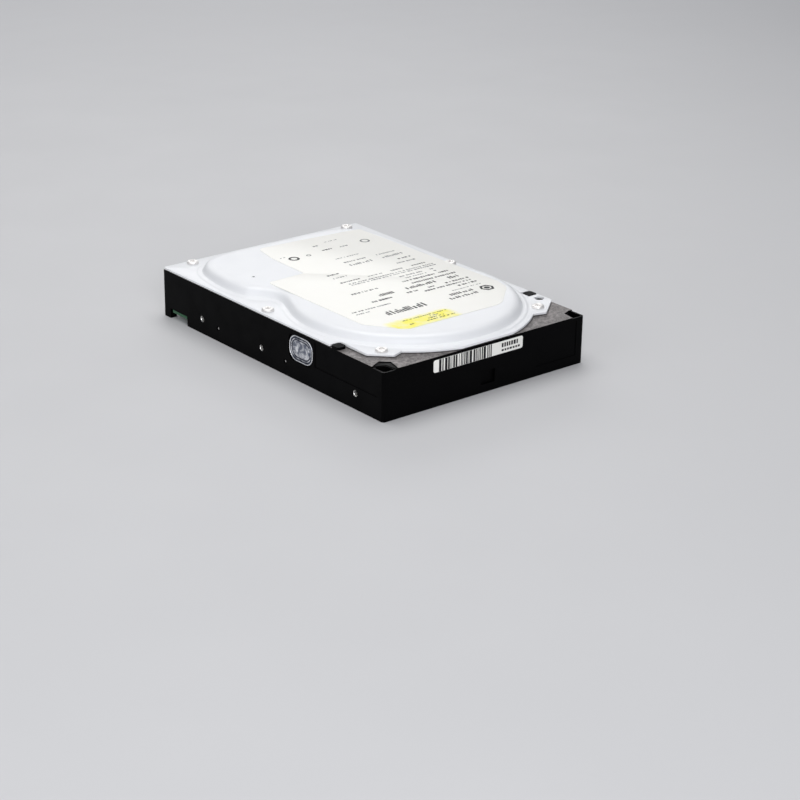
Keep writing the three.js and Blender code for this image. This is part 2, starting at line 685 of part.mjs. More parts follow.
function spindleHub() {
  const barrel = rod(SPINDLE, HUB_RADIUS, HUB_BOTTOM, HUB_TOP, 40);
  const flange = rod(SPINDLE, HUB_FLANGE_RADIUS, HUB_BOTTOM, LOWER_PLATTER, 40);
  const threads = clampScrewCentres()
    .map((centre) => rod(centre, CLAMP_SCREW.thread, CLAMP_SCREW.tip - THREAD_ROOM, HUB_TOP + 1, 12));
  const bore = rod(SPINDLE, HUB_BORE, HUB_BOTTOM - 1, HUB_TOP + 1);
  return cut(barrel.add(flange), [bore, ...threads]);
}

function platter(bottom) {
  return ring(SPINDLE, PLATTER_BORE, PLATTER_RADIUS, bottom + SEAT, bottom + PLATTER_THICKNESS, 64);
}

function discClamp() {
  const discTop = UPPER_PLATTER + PLATTER_THICKNESS + SEAT;
  const lip = ring(SPINDLE, CLAMP_LIP, CLAMP_RADIUS, discTop, CLAMP_TOP);
  const web = ring(SPINDLE, CLAMP_BORE, CLAMP_WEB, HUB_TOP + SEAT, CLAMP_TOP);
  const holes = clampScrewCentres()
    .map((centre) => rod(centre, CLAMP_SCREW.clearance, HUB_TOP - 1, CLAMP_TOP + 1, 12));
  return cut(lip.add(web), holes);
}

function clampScrew(centre) {
  const { head, headHeight, shank, tip } = CLAMP_SCREW;
  const cap = rod(centre, head, CLAMP_TOP + SEAT, CLAMP_TOP + headHeight, 16);
  const stem = rod(centre, shank, tip, CLAMP_TOP + OVERLAP, 12);
  return cap.add(stem).subtract(rod(centre, shank, CLAMP_TOP + headHeight / 2, RIM, 6));
}

function buildSpindle() {
  place('motor_flange', motorFlange(), 'aluminium');
  place('motor_shaft', rod(SPINDLE, SHAFT_RADIUS, ...SHAFT_HEIGHTS), 'steel');
  place('motor_stator', motorStator(), 'copper');
  place('spindle_hub', spindleHub(), 'aluminium');
  place('rotor_magnet', ring(SPINDLE, ROTOR.inner, ROTOR.outer, ROTOR.bottom, HUB_BOTTOM - SEAT), 'magnet');
  for (const [name, heights] of Object.entries(BEARINGS)) {
    place(name, ring(SPINDLE, SHAFT_RADIUS + RUNNING_GAP, BEARING_OUTER, ...heights, 24), 'steel');
  }
  const spacerBottom = LOWER_PLATTER + PLATTER_THICKNESS + SEAT;
  place('platter_lower', platter(LOWER_PLATTER), 'disc');
  const spacer = ring(SPINDLE, PLATTER_BORE, SPACER_OUTER, spacerBottom, UPPER_PLATTER);
  place('platter_spacer', spacer, 'aluminium');
  place('platter_upper', platter(UPPER_PLATTER), 'disc');
  place('disc_clamp', discClamp(), 'aluminium');
  clampScrewCentres().forEach((centre, i) => place(`clamp_screw_${i + 1}`, clampScrew(centre), 'steel'));
}

// ---- Actuator, drawn with the arm along +X and the pivot at the origin -----------------------------

const CENTRE = { x: 0, y: 0 };

function armLevels() {
  const between = (LOWER_PLATTER + PLATTER_THICKNESS + UPPER_PLATTER - ARM_THICKNESS) / 2;
  return [
    LOWER_PLATTER - ARM_TO_DISC - ARM_THICKNESS,
    between,
    UPPER_PLATTER + PLATTER_THICKNESS + ARM_TO_DISC,
  ];
}

function armWeb(bottom) {
  const web = prism(filleted(ARM_OUTLINE, 2), bottom, bottom + ARM_THICKNESS);
  return web.subtract(prism(filleted(ARM_WINDOW, 2), bottom - 1, bottom + 2));
}

function armBlock() {
  const forks = [-1, 1].map((hand) => {
    const bar = FORK_BAR.map(([x, y]) => new THREE.Vector2(x, hand * y));
    return prism(bar, COIL_BOTTOM, COIL_TOP);
  });
  const barrel = rod(CENTRE, BLOCK_RADIUS, BLOCK_BOTTOM, BLOCK_TOP, 32);
  const bore = rod(CENTRE, SLEEVE_RADIUS + TOUCH, BLOCK_BOTTOM - 1, BLOCK_TOP + 1);
  return join([barrel, ...armLevels().map(armWeb), ...forks]).subtract(bore);
}

function voiceCoil() {
  const loop = filleted(COIL_LOOP);
  const eye = filleted(COIL_EYE);
  return prism(loop, COIL_BOTTOM + COIL_SETBACK, COIL_TOP - COIL_SETBACK)
    .subtract(prism(eye, COIL_BOTTOM - 1, COIL_TOP + 1));
}

// A load beam with its slider, under an arm when hand is -1 and on top of it when hand is 1.
function suspension(armFace, hand) {
  const { root, bend, width, tipWidth, thickness, armGap, tipLift, pastHead } = LOAD_BEAM;
  const tip = HEAD_REACH + pastHead;
  const sliderFace = ARM_TO_DISC - RUNNING_GAP;
  const profile = [
    [root, armGap], [bend, armGap], [tip - LOAD_BEAM.sliderBack, tipLift], [tip, tipLift],
    [tip, sliderFace], [tip - LOAD_BEAM.slider, sliderFace], [tip - LOAD_BEAM.slider, tipLift + thickness],
    [bend, armGap + thickness], [root, armGap + thickness],
  ].map(([x, z]) => new THREE.Vector2(x, armFace + hand * z));
  const plan = filleted([
    [root - 1, -width], [bend, -width], [tip, -tipWidth], [tip, tipWidth], [bend, width], [root - 1, width],
  ]);
  return prismAlongY(profile, -width - 1, width + 1).intersect(prism(plan, armFace - 3, armFace + 3));
}

function buildActuator() {
  place('pivot_shaft', rod(PIVOT, PIVOT_SHAFT_RADIUS, ...PIVOT_SHAFT_HEIGHTS), 'steel');
  const turned = new THREE.Group();
  turned.position.set(PIVOT.x, PIVOT.y, 0);
  turned.rotation.z = PARK_ANGLE;
  group.add(turned);
  const [low, middle, high] = armLevels();
  place('arm_block', armBlock(), 'aluminium', turned);
  const sleeve = ring(CENTRE, SLEEVE_BORE, SLEEVE_RADIUS, ...SLEEVE_HEIGHTS, 24);
  place('pivot_sleeve', sleeve, 'steel', turned);
  place('voice_coil', voiceCoil(), 'copper', turned);
  place('head_suspension_1', suspension(low + ARM_THICKNESS, 1), 'steel', turned);
  place('head_suspension_2', suspension(middle, -1), 'steel', turned);
  place('head_suspension_3', suspension(middle + ARM_THICKNESS, 1), 'steel', turned);
  place('head_suspension_4', suspension(high, -1), 'steel', turned);
}

// ---- Voice coil motor and other fixed inner pieces -------------------------------------------------

function buildCoilMotor() {
  place('coil_motor_plate_lower', prism(sector(PLATE_SECTOR, 16), ...LOWER_PLATE), 'steel');
  place('coil_motor_magnet_lower', prism(sector(MAGNET_SECTOR, 12), ...LOWER_MAGNET), 'magnet');
  place('coil_motor_magnet_upper', prism(sector(MAGNET_SECTOR, 12), ...UPPER_MAGNET), 'magnet');
  place('coil_motor_plate_upper', prism(sector(PLATE_SECTOR, 16), ...UPPER_PLATE), 'steel');
  for (const [side, angle] of Object.entries(STOP_ANGLES)) {
    const centre = polar(PIVOT, PILLAR_CIRCLE, angle);
    const pillar = rod(centre, PILLAR_RADIUS, LOWER_PLATE[1] + SEAT, UPPER_PLATE[0] - SEAT, 16);
    const stop = ring(centre, PILLAR_RADIUS + RUNNING_GAP, STOP_RADIUS, ...STOP_HEIGHTS, 16);
    place(`plate_pillar_${side}`, pillar, 'steel');
    place(`crash_stop_${side}`, stop, 'rubber');
  }
}

function flexCable() {
  const route = new THREE.SplineCurve(FLEX_ROUTE.map(([x, y]) => new THREE.Vector2(x, y)))
    .getPoints(FLEX_STEPS);
  const normals = route.map((point, i) => {
    const along = route[Math.min(i + 1, FLEX_STEPS)].clone().sub(route[Math.max(i - 1, 0)]).normalize();
    return new THREE.Vector2(-along.y, along.x).multiplyScalar(FLEX_THICKNESS / 2);
  });
  const left = route.map((point, i) => point.clone().add(normals[i])).reverse();
  const right = route.map((point, i) => point.clone().sub(normals[i]));
  return prism([...right, ...left], ...FLEX_HEIGHTS);
}

function buildSignalPath() {
  const base = FLOOR_TOP + SEAT;
  const { x, y, footTop, wallFront, wallTop } = BRACKET;
  const foot = block(...x, ...y, base, footTop);
  const wall = block(...x, wallFront, y[1], footTop - OVERLAP, wallTop);
  place('flex_bracket', foot.add(wall), 'blackPlastic');
  place('flex_cable', flexCable(), 'flex');
  place('recirculation_filter', block(...FILTER.x, ...FILTER.y, base, FILTER.top), 'filter');
}

// ---- Circuit board ---------------------------------------------------------------------------------

function circuitBoard() {
  const thickness = [BOARD_BOTTOM, BOARD_TOP];
  const above = BOARD_TOP + 1;
  const outline = rectangle(-BOARD_HALF_WIDTH, BOARD_HALF_WIDTH, BOARD_FRONT, BOARD_REAR, BOARD_CORNER);
  const ear = block(BOARD_EAR.x, -BOARD_HALF_WIDTH + 1, ...BOARD_EAR.y, ...thickness);
  const clearance = BOTTOM_BOSS + BOARD_BOSS_GAP;
  const fixings = bottomHoleCentres().map((centre) => rod(centre, clearance, 0, above));
  const screws = pointsOf(BOARD_SCREWS).map((centre) => rod(centre, BOARD_SCREW_HOLE, 0, above, 12));
  const motor = rod(SPINDLE, MOTOR_BOSS + BOARD_MOTOR_GAP, 0, above, 40);
  return cut(prism(outline, ...thickness).add(ear), [motor, ...fixings, ...screws]);
}

function boardScrew([x, y]) {
  const { radius, height, socketRadius, socketDepth } = BOARD_SCREW_HEAD;
  const seat = BOARD_BOTTOM - SEAT;
  const head = rod({ x, y }, radius, seat - height, seat);
  const shank = rod({ x, y }, BOARD_SCREW_RADIUS, seat - OVERLAP, BOARD_SCREW_TIP, 12);
  const socket = rod({ x, y }, socketRadius, 0, seat - height + socketDepth, 6);
  return head.add(shank).subtract(socket);
}

function dataHeader() {
  const { x, top, cavityX, cavityZ, back } = HEADER;
  const inner = CONNECTOR_FRONT + back;
  const beyond = CONNECTOR_REAR + 1;
  const shell = block(...x, CONNECTOR_FRONT, CONNECTOR_REAR, CONNECTOR_BASE, top);
  const cavity = block(...cavityX, inner, beyond, ...cavityZ);
  return cut(shell, [cavity, block(...KEYWAY, inner, beyond, cavityZ[1] - 1, top + 1)]);
}

function powerSocket() {
  const { x, top, back } = SOCKET;
  const shell = block(...x, CONNECTOR_FRONT, CONNECTOR_REAR, CONNECTOR_BASE, top);
  const outline = SOCKET_CAVITY.map(([across, up]) => new THREE.Vector2(across, up));
  return shell.subtract(prismAlongY(outline, CONNECTOR_FRONT + back, CONNECTOR_REAR + 1));
}

function buildBoard() {
  const { x, y, corner, top: foamTop } = FOAM;
  const { x: pinsX, rear, top } = OPTION_BLOCK;
  const pins = block(...pinsX, CONNECTOR_FRONT, rear, CONNECTOR_BASE, top);
  const jumper = block(...JUMPER.x, ...JUMPER.y, ...JUMPER.z);
  place('circuit_board', circuitBoard(), 'board');
  const foam = prism(rectangle(...x, ...y, corner), BOARD_TOP + SEAT, foamTop);
  place('board_foam_pad', foam, 'foam');
  for (const [name, chip] of Object.entries(CHIPS)) {
    const outline = rectangle(...chip.x, ...chip.y, chip.corner);
    place(name, prism(outline, chip.underside, BOARD_BOTTOM - SEAT), 'chip');
  }
  place('data_header', dataHeader(), 'blackPlastic');
  place('option_pin_block', pins, 'blackPlastic');
  place('jumper_cap', jumper, 'whitePlastic');
  place('power_socket', powerSocket(), 'whitePlastic');
  for (const [name, centre] of Object.entries(BOARD_SCREWS)) place(name, boardScrew(centre), 'steel');
}

// ---- Assembly --------------------------------------------------------------------------------------

place('base_casting', baseCasting(), 'blackPaint');
place('cover_gasket', coverGasket(), 'rubber');
place('top_cover', topCover(), 'silverCover');
for (const [name, centre] of Object.entries(COVER_SCREWS)) place(name, coverScrew(centre), 'steel');
place('product_label', productLabel(), 'paper');
place('front_label', frontLabel(), 'paper');
place('side_window_seal', sideWindowSeal(), 'foil');
buildSpindle();
buildActuator();
buildCoilMotor();
buildSignalPath();
buildBoard();

export default group;
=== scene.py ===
# The look of a 3.5-inch hard disk drive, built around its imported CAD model.
import json
import math
import random

import bmesh
import bpy
from mathutils import Matrix, Quaternion, Vector


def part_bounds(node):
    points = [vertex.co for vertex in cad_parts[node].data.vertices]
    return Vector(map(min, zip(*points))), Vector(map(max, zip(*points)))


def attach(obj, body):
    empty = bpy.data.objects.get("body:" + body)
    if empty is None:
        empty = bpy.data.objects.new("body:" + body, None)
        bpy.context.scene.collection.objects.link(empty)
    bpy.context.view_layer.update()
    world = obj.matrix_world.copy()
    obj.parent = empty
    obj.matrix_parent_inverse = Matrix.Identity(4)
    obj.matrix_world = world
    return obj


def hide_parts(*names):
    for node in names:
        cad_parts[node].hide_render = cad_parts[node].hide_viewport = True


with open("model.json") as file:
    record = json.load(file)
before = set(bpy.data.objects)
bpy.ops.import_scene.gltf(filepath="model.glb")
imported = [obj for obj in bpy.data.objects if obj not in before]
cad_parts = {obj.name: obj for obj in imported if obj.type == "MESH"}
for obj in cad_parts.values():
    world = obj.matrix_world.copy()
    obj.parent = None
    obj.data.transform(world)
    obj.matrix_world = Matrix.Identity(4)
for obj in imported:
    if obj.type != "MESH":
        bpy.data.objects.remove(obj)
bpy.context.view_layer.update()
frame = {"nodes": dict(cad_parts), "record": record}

MM = 0.001

# Heights and places worked out from the frame, in millimetres.


def mm_box(node):
    low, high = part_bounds(node)
    return low / MM, high / MM


def middle(node):
    low, high = mm_box(node)
    return (low + high) / 2


CASTING_HIGH = mm_box("base_casting")[1]
COVER_LOW, COVER_HIGH = mm_box("top_cover")
FRONT_LOW, FRONT_HIGH = mm_box("front_label")
SEAL_LOW, SEAL_HIGH = mm_box("side_window_seal")

HALF_WIDTH = CASTING_HIGH.x
FLANGE_TOP = CASTING_HIGH.z
SHEET = 0.8
FLANGE_BOTTOM = COVER_LOW.z
RIM = mm_box("cover_gasket")[0].z - 0.02
COVER_TOP = COVER_HIGH.z
SPINDLE = middle("platter_upper").to_2d()
COVER_SCREW_NODES = [name for name in frame["nodes"] if name.startswith("cover_screw")]
BOARD_SCREW_NODES = [name for name in frame["nodes"] if name.startswith("board_screw")]


# ---- Camera, light and floor -------------------------------------------------

CAMERA_PLACE = Vector((-0.48223, -0.60638, 0.29211))
CAMERA_AZIMUTH = math.radians(-39.50)
CAMERA_ELEVATION = math.radians(22.41)
CAMERA_ROLL = math.radians(0.77)
CAMERA_LENS = 90.97


def make_camera():
    data = bpy.data.cameras.new("camera")
    data.lens = CAMERA_LENS
    data.sensor_width = 36
    data.clip_start = 0.01
    camera = bpy.data.objects.new("camera", data)
    back = Vector((
        math.sin(CAMERA_AZIMUTH) * math.cos(CAMERA_ELEVATION),
        -math.cos(CAMERA_AZIMUTH) * math.cos(CAMERA_ELEVATION),
        math.sin(CAMERA_ELEVATION),
    ))
    camera.rotation_mode = "QUATERNION"
    camera.rotation_quaternion = (-back).to_track_quat("-Z", "Y") @ Quaternion((0, 0, 1), CAMERA_ROLL)
    camera.location = CAMERA_PLACE
    bpy.context.scene.collection.objects.link(camera)
    bpy.context.scene.camera = camera


def area_light(name, place, target, size, power, color=(1, 1, 1)):
    data = bpy.data.lights.new(name, "AREA")
    data.shape = "RECTANGLE"
    data.size, data.size_y = size
    data.energy = power
    data.color = color
    light = bpy.data.objects.new(name, data)
    light.location = place
    direction = Vector(target) - Vector(place)
    light.rotation_mode = "QUATERNION"
    light.rotation_quaternion = direction.to_track_quat("-Z", "Y")
    bpy.context.scene.collection.objects.link(light)


def make_lights():
    area_light("key_overhead", (0.05, 0.15, 0.9), (0, 0, 0.02), (0.9, 0.8), 5.8, (1, 0.99, 0.97))
    area_light("rear_strip", (0.5, 0.9, 0.45), (0, 0.02, 0.02), (0.9, 0.25), 1.9)
    area_light("front_fill", (-0.55, -0.9, 0.45), (0, 0, 0.02), (0.7, 0.5), 6.5, (0.97, 0.98, 1))
    area_light("left_soft", (-0.9, -0.05, 0.4), (0, 0, 0.02), (0.6, 0.4), 1.2)
    view = bpy.context.scene.view_settings
    view.view_transform = "Standard"
    view.look = "None"
    world = bpy.data.worlds.new("studio")
    world.use_nodes = True
    background = world.node_tree.nodes["Background"]
    background.inputs["Color"].default_value = (0.86, 0.9, 1, 1)
    background.inputs["Strength"].default_value = 0.22
    bpy.context.scene.world = world


# ---- Materials ---------------------------------------------------------------


class Finish:
    """A procedural material: a base shader with nodes in object coordinates, in metres."""

    def __init__(self, name, color, roughness, metallic=0.0, **sockets):
        self.name = name
        self.material = bpy.data.materials.new(name)
        self.material.use_nodes = True
        self.tree = self.material.node_tree
        self.shader = self.tree.nodes["Principled BSDF"]
        self.place = self.tree.nodes.new("ShaderNodeTexCoord").outputs["Object"]
        self.color = (*color, 1)
        self.height = None
        self.feed(self.shader, {"Roughness": roughness, "Metallic": metallic})
        self.feed(self.shader, {socket.replace("_", " "): value for socket, value in sockets.items()})

    def feed(self, node, inputs):
        """Gives each input of a node a fixed value or the output of another node."""
        for name, value in inputs.items():
            if isinstance(value, bpy.types.NodeSocket):
                self.tree.links.new(value, node.inputs[name])
            else:
                node.inputs[name].default_value = value

    def node(self, kind, inputs, **settings):
        made = self.tree.nodes.new(kind)
        for name, value in settings.items():
            setattr(made, name, value)
        self.feed(made, inputs)
        return made

    def math(self, operation, *values):
        return self.node("ShaderNodeMath", dict(enumerate(values)), operation=operation).outputs[0]

    def noise(self, size, detail, distortion=0.0):
        """Noise with features of a size in millimetres."""
        return self.node("ShaderNodeTexNoise", {
            "Vector": self.place, "Scale": 1 / (size * MM), "Detail": detail, "Distortion": distortion,
        }).outputs["Fac"]

    def spread(self, value, low, high, to_low=0.0, to_high=1.0):
        return self.node("ShaderNodeMapRange", {
            "Value": value, "From Min": low, "From Max": high, "To Min": to_low, "To Max": to_high,
        }).outputs["Result"]

    def axes(self, vector):
        return self.node("ShaderNodeSeparateXYZ", {"Vector": vector}).outputs

    def tint(self, mask, color):
        mix = self.node("ShaderNodeMix", {"Factor": mask, "A": self.color, "B": (*color, 1)},
                        data_type="RGBA")
        self.color = mix.outputs["Result"]

    def cloud(self, color, size, detail, low, high, strength=1.0, distortion=0.0):
        """Tints towards a colour as noise rises from low to high."""
        self.tint(self.spread(self.noise(size, detail, distortion), low, high, 0, strength), color)

    def vary(self, size, detail, low, high):
        """Roughness between low and high, in patches of noise."""
        patches = self.noise(size, detail)
        self.feed(self.shader, {"Roughness": self.spread(patches, 0.3, 0.7, low, high)})

    def raise_by(self, source, depth):
        """Adds source times depth, in millimetres, to the surface height."""
        part = self.math("MULTIPLY", source, depth * MM)
        self.height = part if self.height is None else self.math("ADD", self.height, part)

    def grain(self, size, detail, depth, distortion=0.0):
        self.raise_by(self.noise(size, detail, distortion), depth)

    def done(self):
        self.feed(self.shader, {"Base Color": self.color})
        if self.height is not None:
            bump = self.node("ShaderNodeBump", {"Distance": 1, "Height": self.height})
            self.feed(self.shader, {"Normal": bump.outputs[0]})
        return self


def mask_between(finish, value, low, high, edge):
    """1 where value, in metres, is between low and high, in millimetres, with a soft edge."""
    low, high, edge = low * MM, high * MM, edge * MM
    rising = finish.spread(value, low - edge, low + edge)
    falling = finish.spread(value, high - edge, high + edge, 1, 0)
    return finish.math("MULTIPLY", rising, falling)


# Bands as low end, high end and softness of their edges.
MILLED_BAND = (RIM - 0.2, RIM + 0.1, 0.02)
YELLOW_BAND = {"x": (-26.5, 3.5, 1.5), "y": (-53.6, -44.2, 1.3)}


def casting_finish():
    """Black electrocoat with a fine orange peel; the milled rim is bare, mottled metal."""
    finish = Finish("casting_black", (0.0012, 0.0012, 0.0014), 0.42, Specular_IOR_Level=0.03)
    finish.vary(7, 4, 0.34, 0.5)
    finish.grain(0.9, 4, 0.012)
    finish.cloud((0.024, 0.023, 0.022), 0.35, 2, 0.7, 0.78, 0.3)
    normal = finish.node("ShaderNodeNewGeometry", {}).outputs["Normal"]
    level = mask_between(finish, finish.axes(finish.place)["Z"], *MILLED_BAND)
    milled = finish.math("MULTIPLY", level, finish.spread(finish.axes(normal)["Z"], 0.75, 0.9))
    mottle = finish.spread(finish.noise(1.6, 9, 0.8), 0.35, 0.65)
    flecks = finish.spread(finish.noise(0.3, 2), 0.6, 0.7, 0, 0.45)
    finish.tint(milled, (0.1, 0.094, 0.093))
    finish.tint(finish.math("MULTIPLY", milled, mottle), (0.26, 0.24, 0.235))
    finish.tint(finish.math("MULTIPLY", milled, flecks), (0.5, 0.47, 0.455))
    finish.feed(finish.shader, {"Metallic": finish.math("MULTIPLY", milled, 0.55)})
    return finish.done()


def cover_finish():
    """Satin silver-white paint over pressed sheet, a little cloudy, with faint rolling grain."""
    finish = Finish("cover_silver", (0.8, 0.81, 0.83), 0.4, 0.08, Specular_IOR_Level=0.45)
    finish.cloud((0.84, 0.845, 0.855), 18, 3, 0.3, 0.7, 0.35)
    finish.cloud((0.68, 0.69, 0.71), 0.5, 2, 0.66, 0.76, 0.25)
    finish.vary(5, 5, 0.36, 0.5)
    finish.grain(0.35, 3, 0.006)
    finish.grain(24, 2, 0.05)
    return finish.done()


def steel_finish(name, color, roughness):
    finish = Finish(name, color, roughness, 1.0)
    finish.cloud(tuple(c * 0.6 for c in color), 1.2, 4, 0.35, 0.7, 0.5)
    finish.vary(0.6, 4, roughness - 0.08, roughness + 0.14)
    finish.grain(0.5, 3, 0.0025)
    return finish.done()


def plain_finish(name, color, roughness, metallic=0.0, grain=0.3, depth=0.006, shade=0.7, **sockets):
    """Moulded or coated surface: cloudy colour, uneven gloss and a fine grain."""
    finish = Finish(name, color, roughness, metallic, **sockets)
    finish.cloud(tuple(c * shade for c in color), 4, 4, 0.35, 0.7, 0.5)
    finish.vary(1.5, 4, roughness * 0.85, min(1, roughness * 1.2))
    finish.grain(grain, 3, depth)
    return finish.done()


def label_finish():
    """Cream label stock; a soft yellow highlight lies across its front left corner."""
    finish = Finish("label_paper", (0.93, 0.92, 0.875), 0.45, Specular_IOR_Level=0.4)
    finish.cloud((0.91, 0.9, 0.85), 9, 4, 0.35, 0.7, 0.4)
    axes = finish.axes(finish.place)
    wobble = finish.math("MULTIPLY", finish.noise(3, 3), 2.4 * MM)
    x = finish.math("ADD", axes["X"], wobble)
    y = finish.math("ADD", axes["Y"], wobble)
    along = mask_between(finish, x, *YELLOW_BAND["x"])
    across = mask_between(finish, y, *YELLOW_BAND["y"])
    strength = finish.math("MULTIPLY", along, across)
    uneven = finish.spread(finish.noise(5, 3), 0.35, 0.6, 0.55, 0.95)
    finish.tint(finish.math("MULTIPLY", strength, uneven), (0.95, 0.88, 0.09))
    finish.vary(2, 3, 0.38, 0.5)
    finish.grain(0.4, 4, 0.004)
    finish.grain(14, 2, 0.04)
    return finish.done()


def foil_finish(name, dark, light, gloss):
    """Embossed metal tape, crumpled a little, with a cool tone."""
    finish = Finish(name, dark, gloss, 0.8)
    finish.cloud(light, 2.8, 6, 0.42, 0.6, distortion=0.5)
    finish.vary(0.8, 4, gloss - 0.08, gloss + 0.12)
    finish.grain(1.2, 5, 0.14, 0.8)
    return finish.done()


def board_finish():
    """Green solder mask: lighter where copper lies beneath, darker over bare board."""
    finish = Finish("board_green", (0.006, 0.06, 0.024), 0.3, Specular_IOR_Level=0.5)
    planes = finish.node("ShaderNodeTexVoronoi", {"Vector": finish.place, "Scale": 1 / (9 * MM)},
                         feature="F1", distance="MANHATTAN")
    finish.tint(finish.spread(planes.outputs["Distance"], 0.42, 0.44, 0, 0.7), (0.014, 0.115, 0.042))
    finish.cloud((0.012, 0.1, 0.04), 6, 3, 0.45, 0.55, 0.3)
    finish.vary(3, 4, 0.24, 0.38)
    finish.grain(0.25, 3, 0.004)
    return finish.done()


def platter_finish():
    """Mirror-polished disc with a faint cloudy tone and uneven gloss."""
    finish = Finish("platter_mirror", (0.8, 0.8, 0.83), 0.06, 1.0)
    finish.cloud((0.7, 0.71, 0.76), 30, 2, 0.3, 0.7, 0.3)
    finish.vary(12, 3, 0.04, 0.09)
    return finish.done()


def wound_finish():
    """Enamelled copper wire, layer on layer."""
    finish = Finish("winding_copper", (0.55, 0.22, 0.09), 0.32, 0.9)
    wave = finish.node("ShaderNodeTexWave", {"Vector": finish.place, "Scale": 1 / (1.2 * MM)},
                       bands_direction="Z")
    finish.tint(finish.spread(wave.outputs["Fac"], 0.2, 0.8, 0, 0.6), (0.32, 0.1, 0.03))
    finish.raise_by(wave.outputs["Fac"], 0.05)
    return finish.done()


# One finish for each material slot.
FINISHES = {finish.name: finish for finish in (
    casting_finish(),
    cover_finish(),
    plain_finish("gasket_rubber", (0.012, 0.012, 0.012), 0.75),
    label_finish(),
    foil_finish("seal_foil", (0.17, 0.19, 0.24), (0.94, 0.95, 0.98), 0.3),
    steel_finish("bare_aluminium", (0.72, 0.72, 0.73), 0.32),
    steel_finish("hard_steel", (0.62, 0.6, 0.57), 0.26),
    wound_finish(),
    steel_finish("magnet_nickel", (0.66, 0.64, 0.6), 0.16),
    platter_finish(),
    plain_finish("flex_amber", (0.5, 0.22, 0.05), 0.35),
    plain_finish("filter_felt", (0.84, 0.84, 0.8), 0.9, grain=0.15, depth=0.06),
    board_finish(),
    plain_finish("foam_grey", (0.05, 0.05, 0.055), 0.9, grain=0.4, depth=0.08),
    plain_finish("chip_black", (0.018, 0.018, 0.02), 0.5, grain=0.12, depth=0.01),
    plain_finish("connector_black", (0.012, 0.012, 0.013), 0.42),
    plain_finish("jumper_plastic", (0.8, 0.78, 0.7), 0.3, shade=0.9),
    plain_finish("socket_ivory", (0.72, 0.68, 0.56), 0.38, shade=0.88,
                 Subsurface_Weight=0.05),
)}
# Dark and bright copies of the foil: painted shade in the embossed rings and a painted highlight along
# the lip.
FOIL_SHADE_BAND = foil_finish("foil_band", (0.02, 0.024, 0.036), (0.07, 0.08, 0.11), 0.36)
FOIL_HIGHLIGHT_LIP = foil_finish("foil_highlight_lip", (0.72, 0.74, 0.78), (0.97, 0.975, 0.985), 0.3)
INK = plain_finish("label_ink", (0.15, 0.15, 0.155), 0.5, shade=0.75)
BAR_INK = plain_finish("bar_ink", (0.012, 0.012, 0.014), 0.5, Specular_IOR_Level=0.2)
THREAD = steel_finish("cut_thread", (0.75, 0.74, 0.72), 0.26)
ZINC = plain_finish("screw_zinc", (0.86, 0.84, 0.82), 0.34, 0.55, shade=0.86)
GOLD = steel_finish("contact_gold", (0.85, 0.6, 0.22), 0.22)
TIN = steel_finish("solder_tin", (0.68, 0.69, 0.7), 0.28)
CERAMIC = plain_finish("capacitor_ceramic", (0.42, 0.3, 0.17), 0.5)
SILK = plain_finish("board_print", (0.75, 0.77, 0.72), 0.6)
TRACE = plain_finish("board_trace", (0.02, 0.16, 0.06), 0.3)

# ---- Outlines, in millimetres ------------------------------------------------


def polar(centre, radius, degrees):
    angle = math.radians(degrees)
    return Vector((centre[0] + radius * math.cos(angle), centre[1] + radius * math.sin(angle)))


def arc(centre, radius, start, stop, steps):
    return [polar(centre, radius, start + (stop - start) * i / steps) for i in range(steps + 1)]


def circle(centre, radius, steps=32):
    return arc(centre, radius, 0, 360, steps)[:-1]


def filleted(corners, steps=6):
    """Closed outline through (x, y) or (x, y, radius) corners. A radius rounds its corner."""
    points = []
    for i, corner in enumerate(corners):
        here = Vector(corner[:2])
        if len(corner) < 3:
            points.append(here)
            continue
        radius = corner[2]
        before = (Vector(corners[i - 1][:2]) - here).normalized()
        after = (Vector(corners[(i + 1) % len(corners)][:2]) - here).normalized()
        half = before.angle(after) / 2
        centre = here + (before + after).normalized() * radius / math.sin(half)
        start = here + before * radius / math.tan(half) - centre
        stop = here + after * radius / math.tan(half) - centre
        first = math.atan2(start.y, start.x)
        turn = math.atan2(start.x * stop.y - start.y * stop.x, start.dot(stop))
        points += arc(centre, radius, math.degrees(first), math.degrees(first + turn), steps)
    return points


def rectangle(x0, x1, y0, y1, radius, steps=6):
    return filleted([(x0, y0, radius), (x1, y0, radius), (x1, y1, radius), (x0, y1, radius)], steps)


def inset(points, distance):
    """A closed counter-clockwise outline moved inwards."""
    moved = []
    for i, here in enumerate(points):
        along = (points[(i + 1) % len(points)] - points[i - 1]).normalized()
        moved.append(Vector((here.x - along.y * distance, here.y + along.x * distance)))
    return moved


def smooth_path(points, steps):
    """Catmull-Rom curve through the points, both ends included."""
    padded = [points[0] * 2 - points[1], *points, points[-1] * 2 - points[-2]]
    path = []
    for a, b, c, d in zip(padded, padded[1:], padded[2:], padded[3:]):
        for k in range(steps):
            t = k / steps
            path.append(0.5 * (2 * b + (c - a) * t + (2 * a - 5 * b + 4 * c - d) * t ** 2
                               + (3 * b - a - 3 * c + d) * t ** 3))
    return [*path, points[-1]]


# ---- Meshes ------------------------------------------------------------------


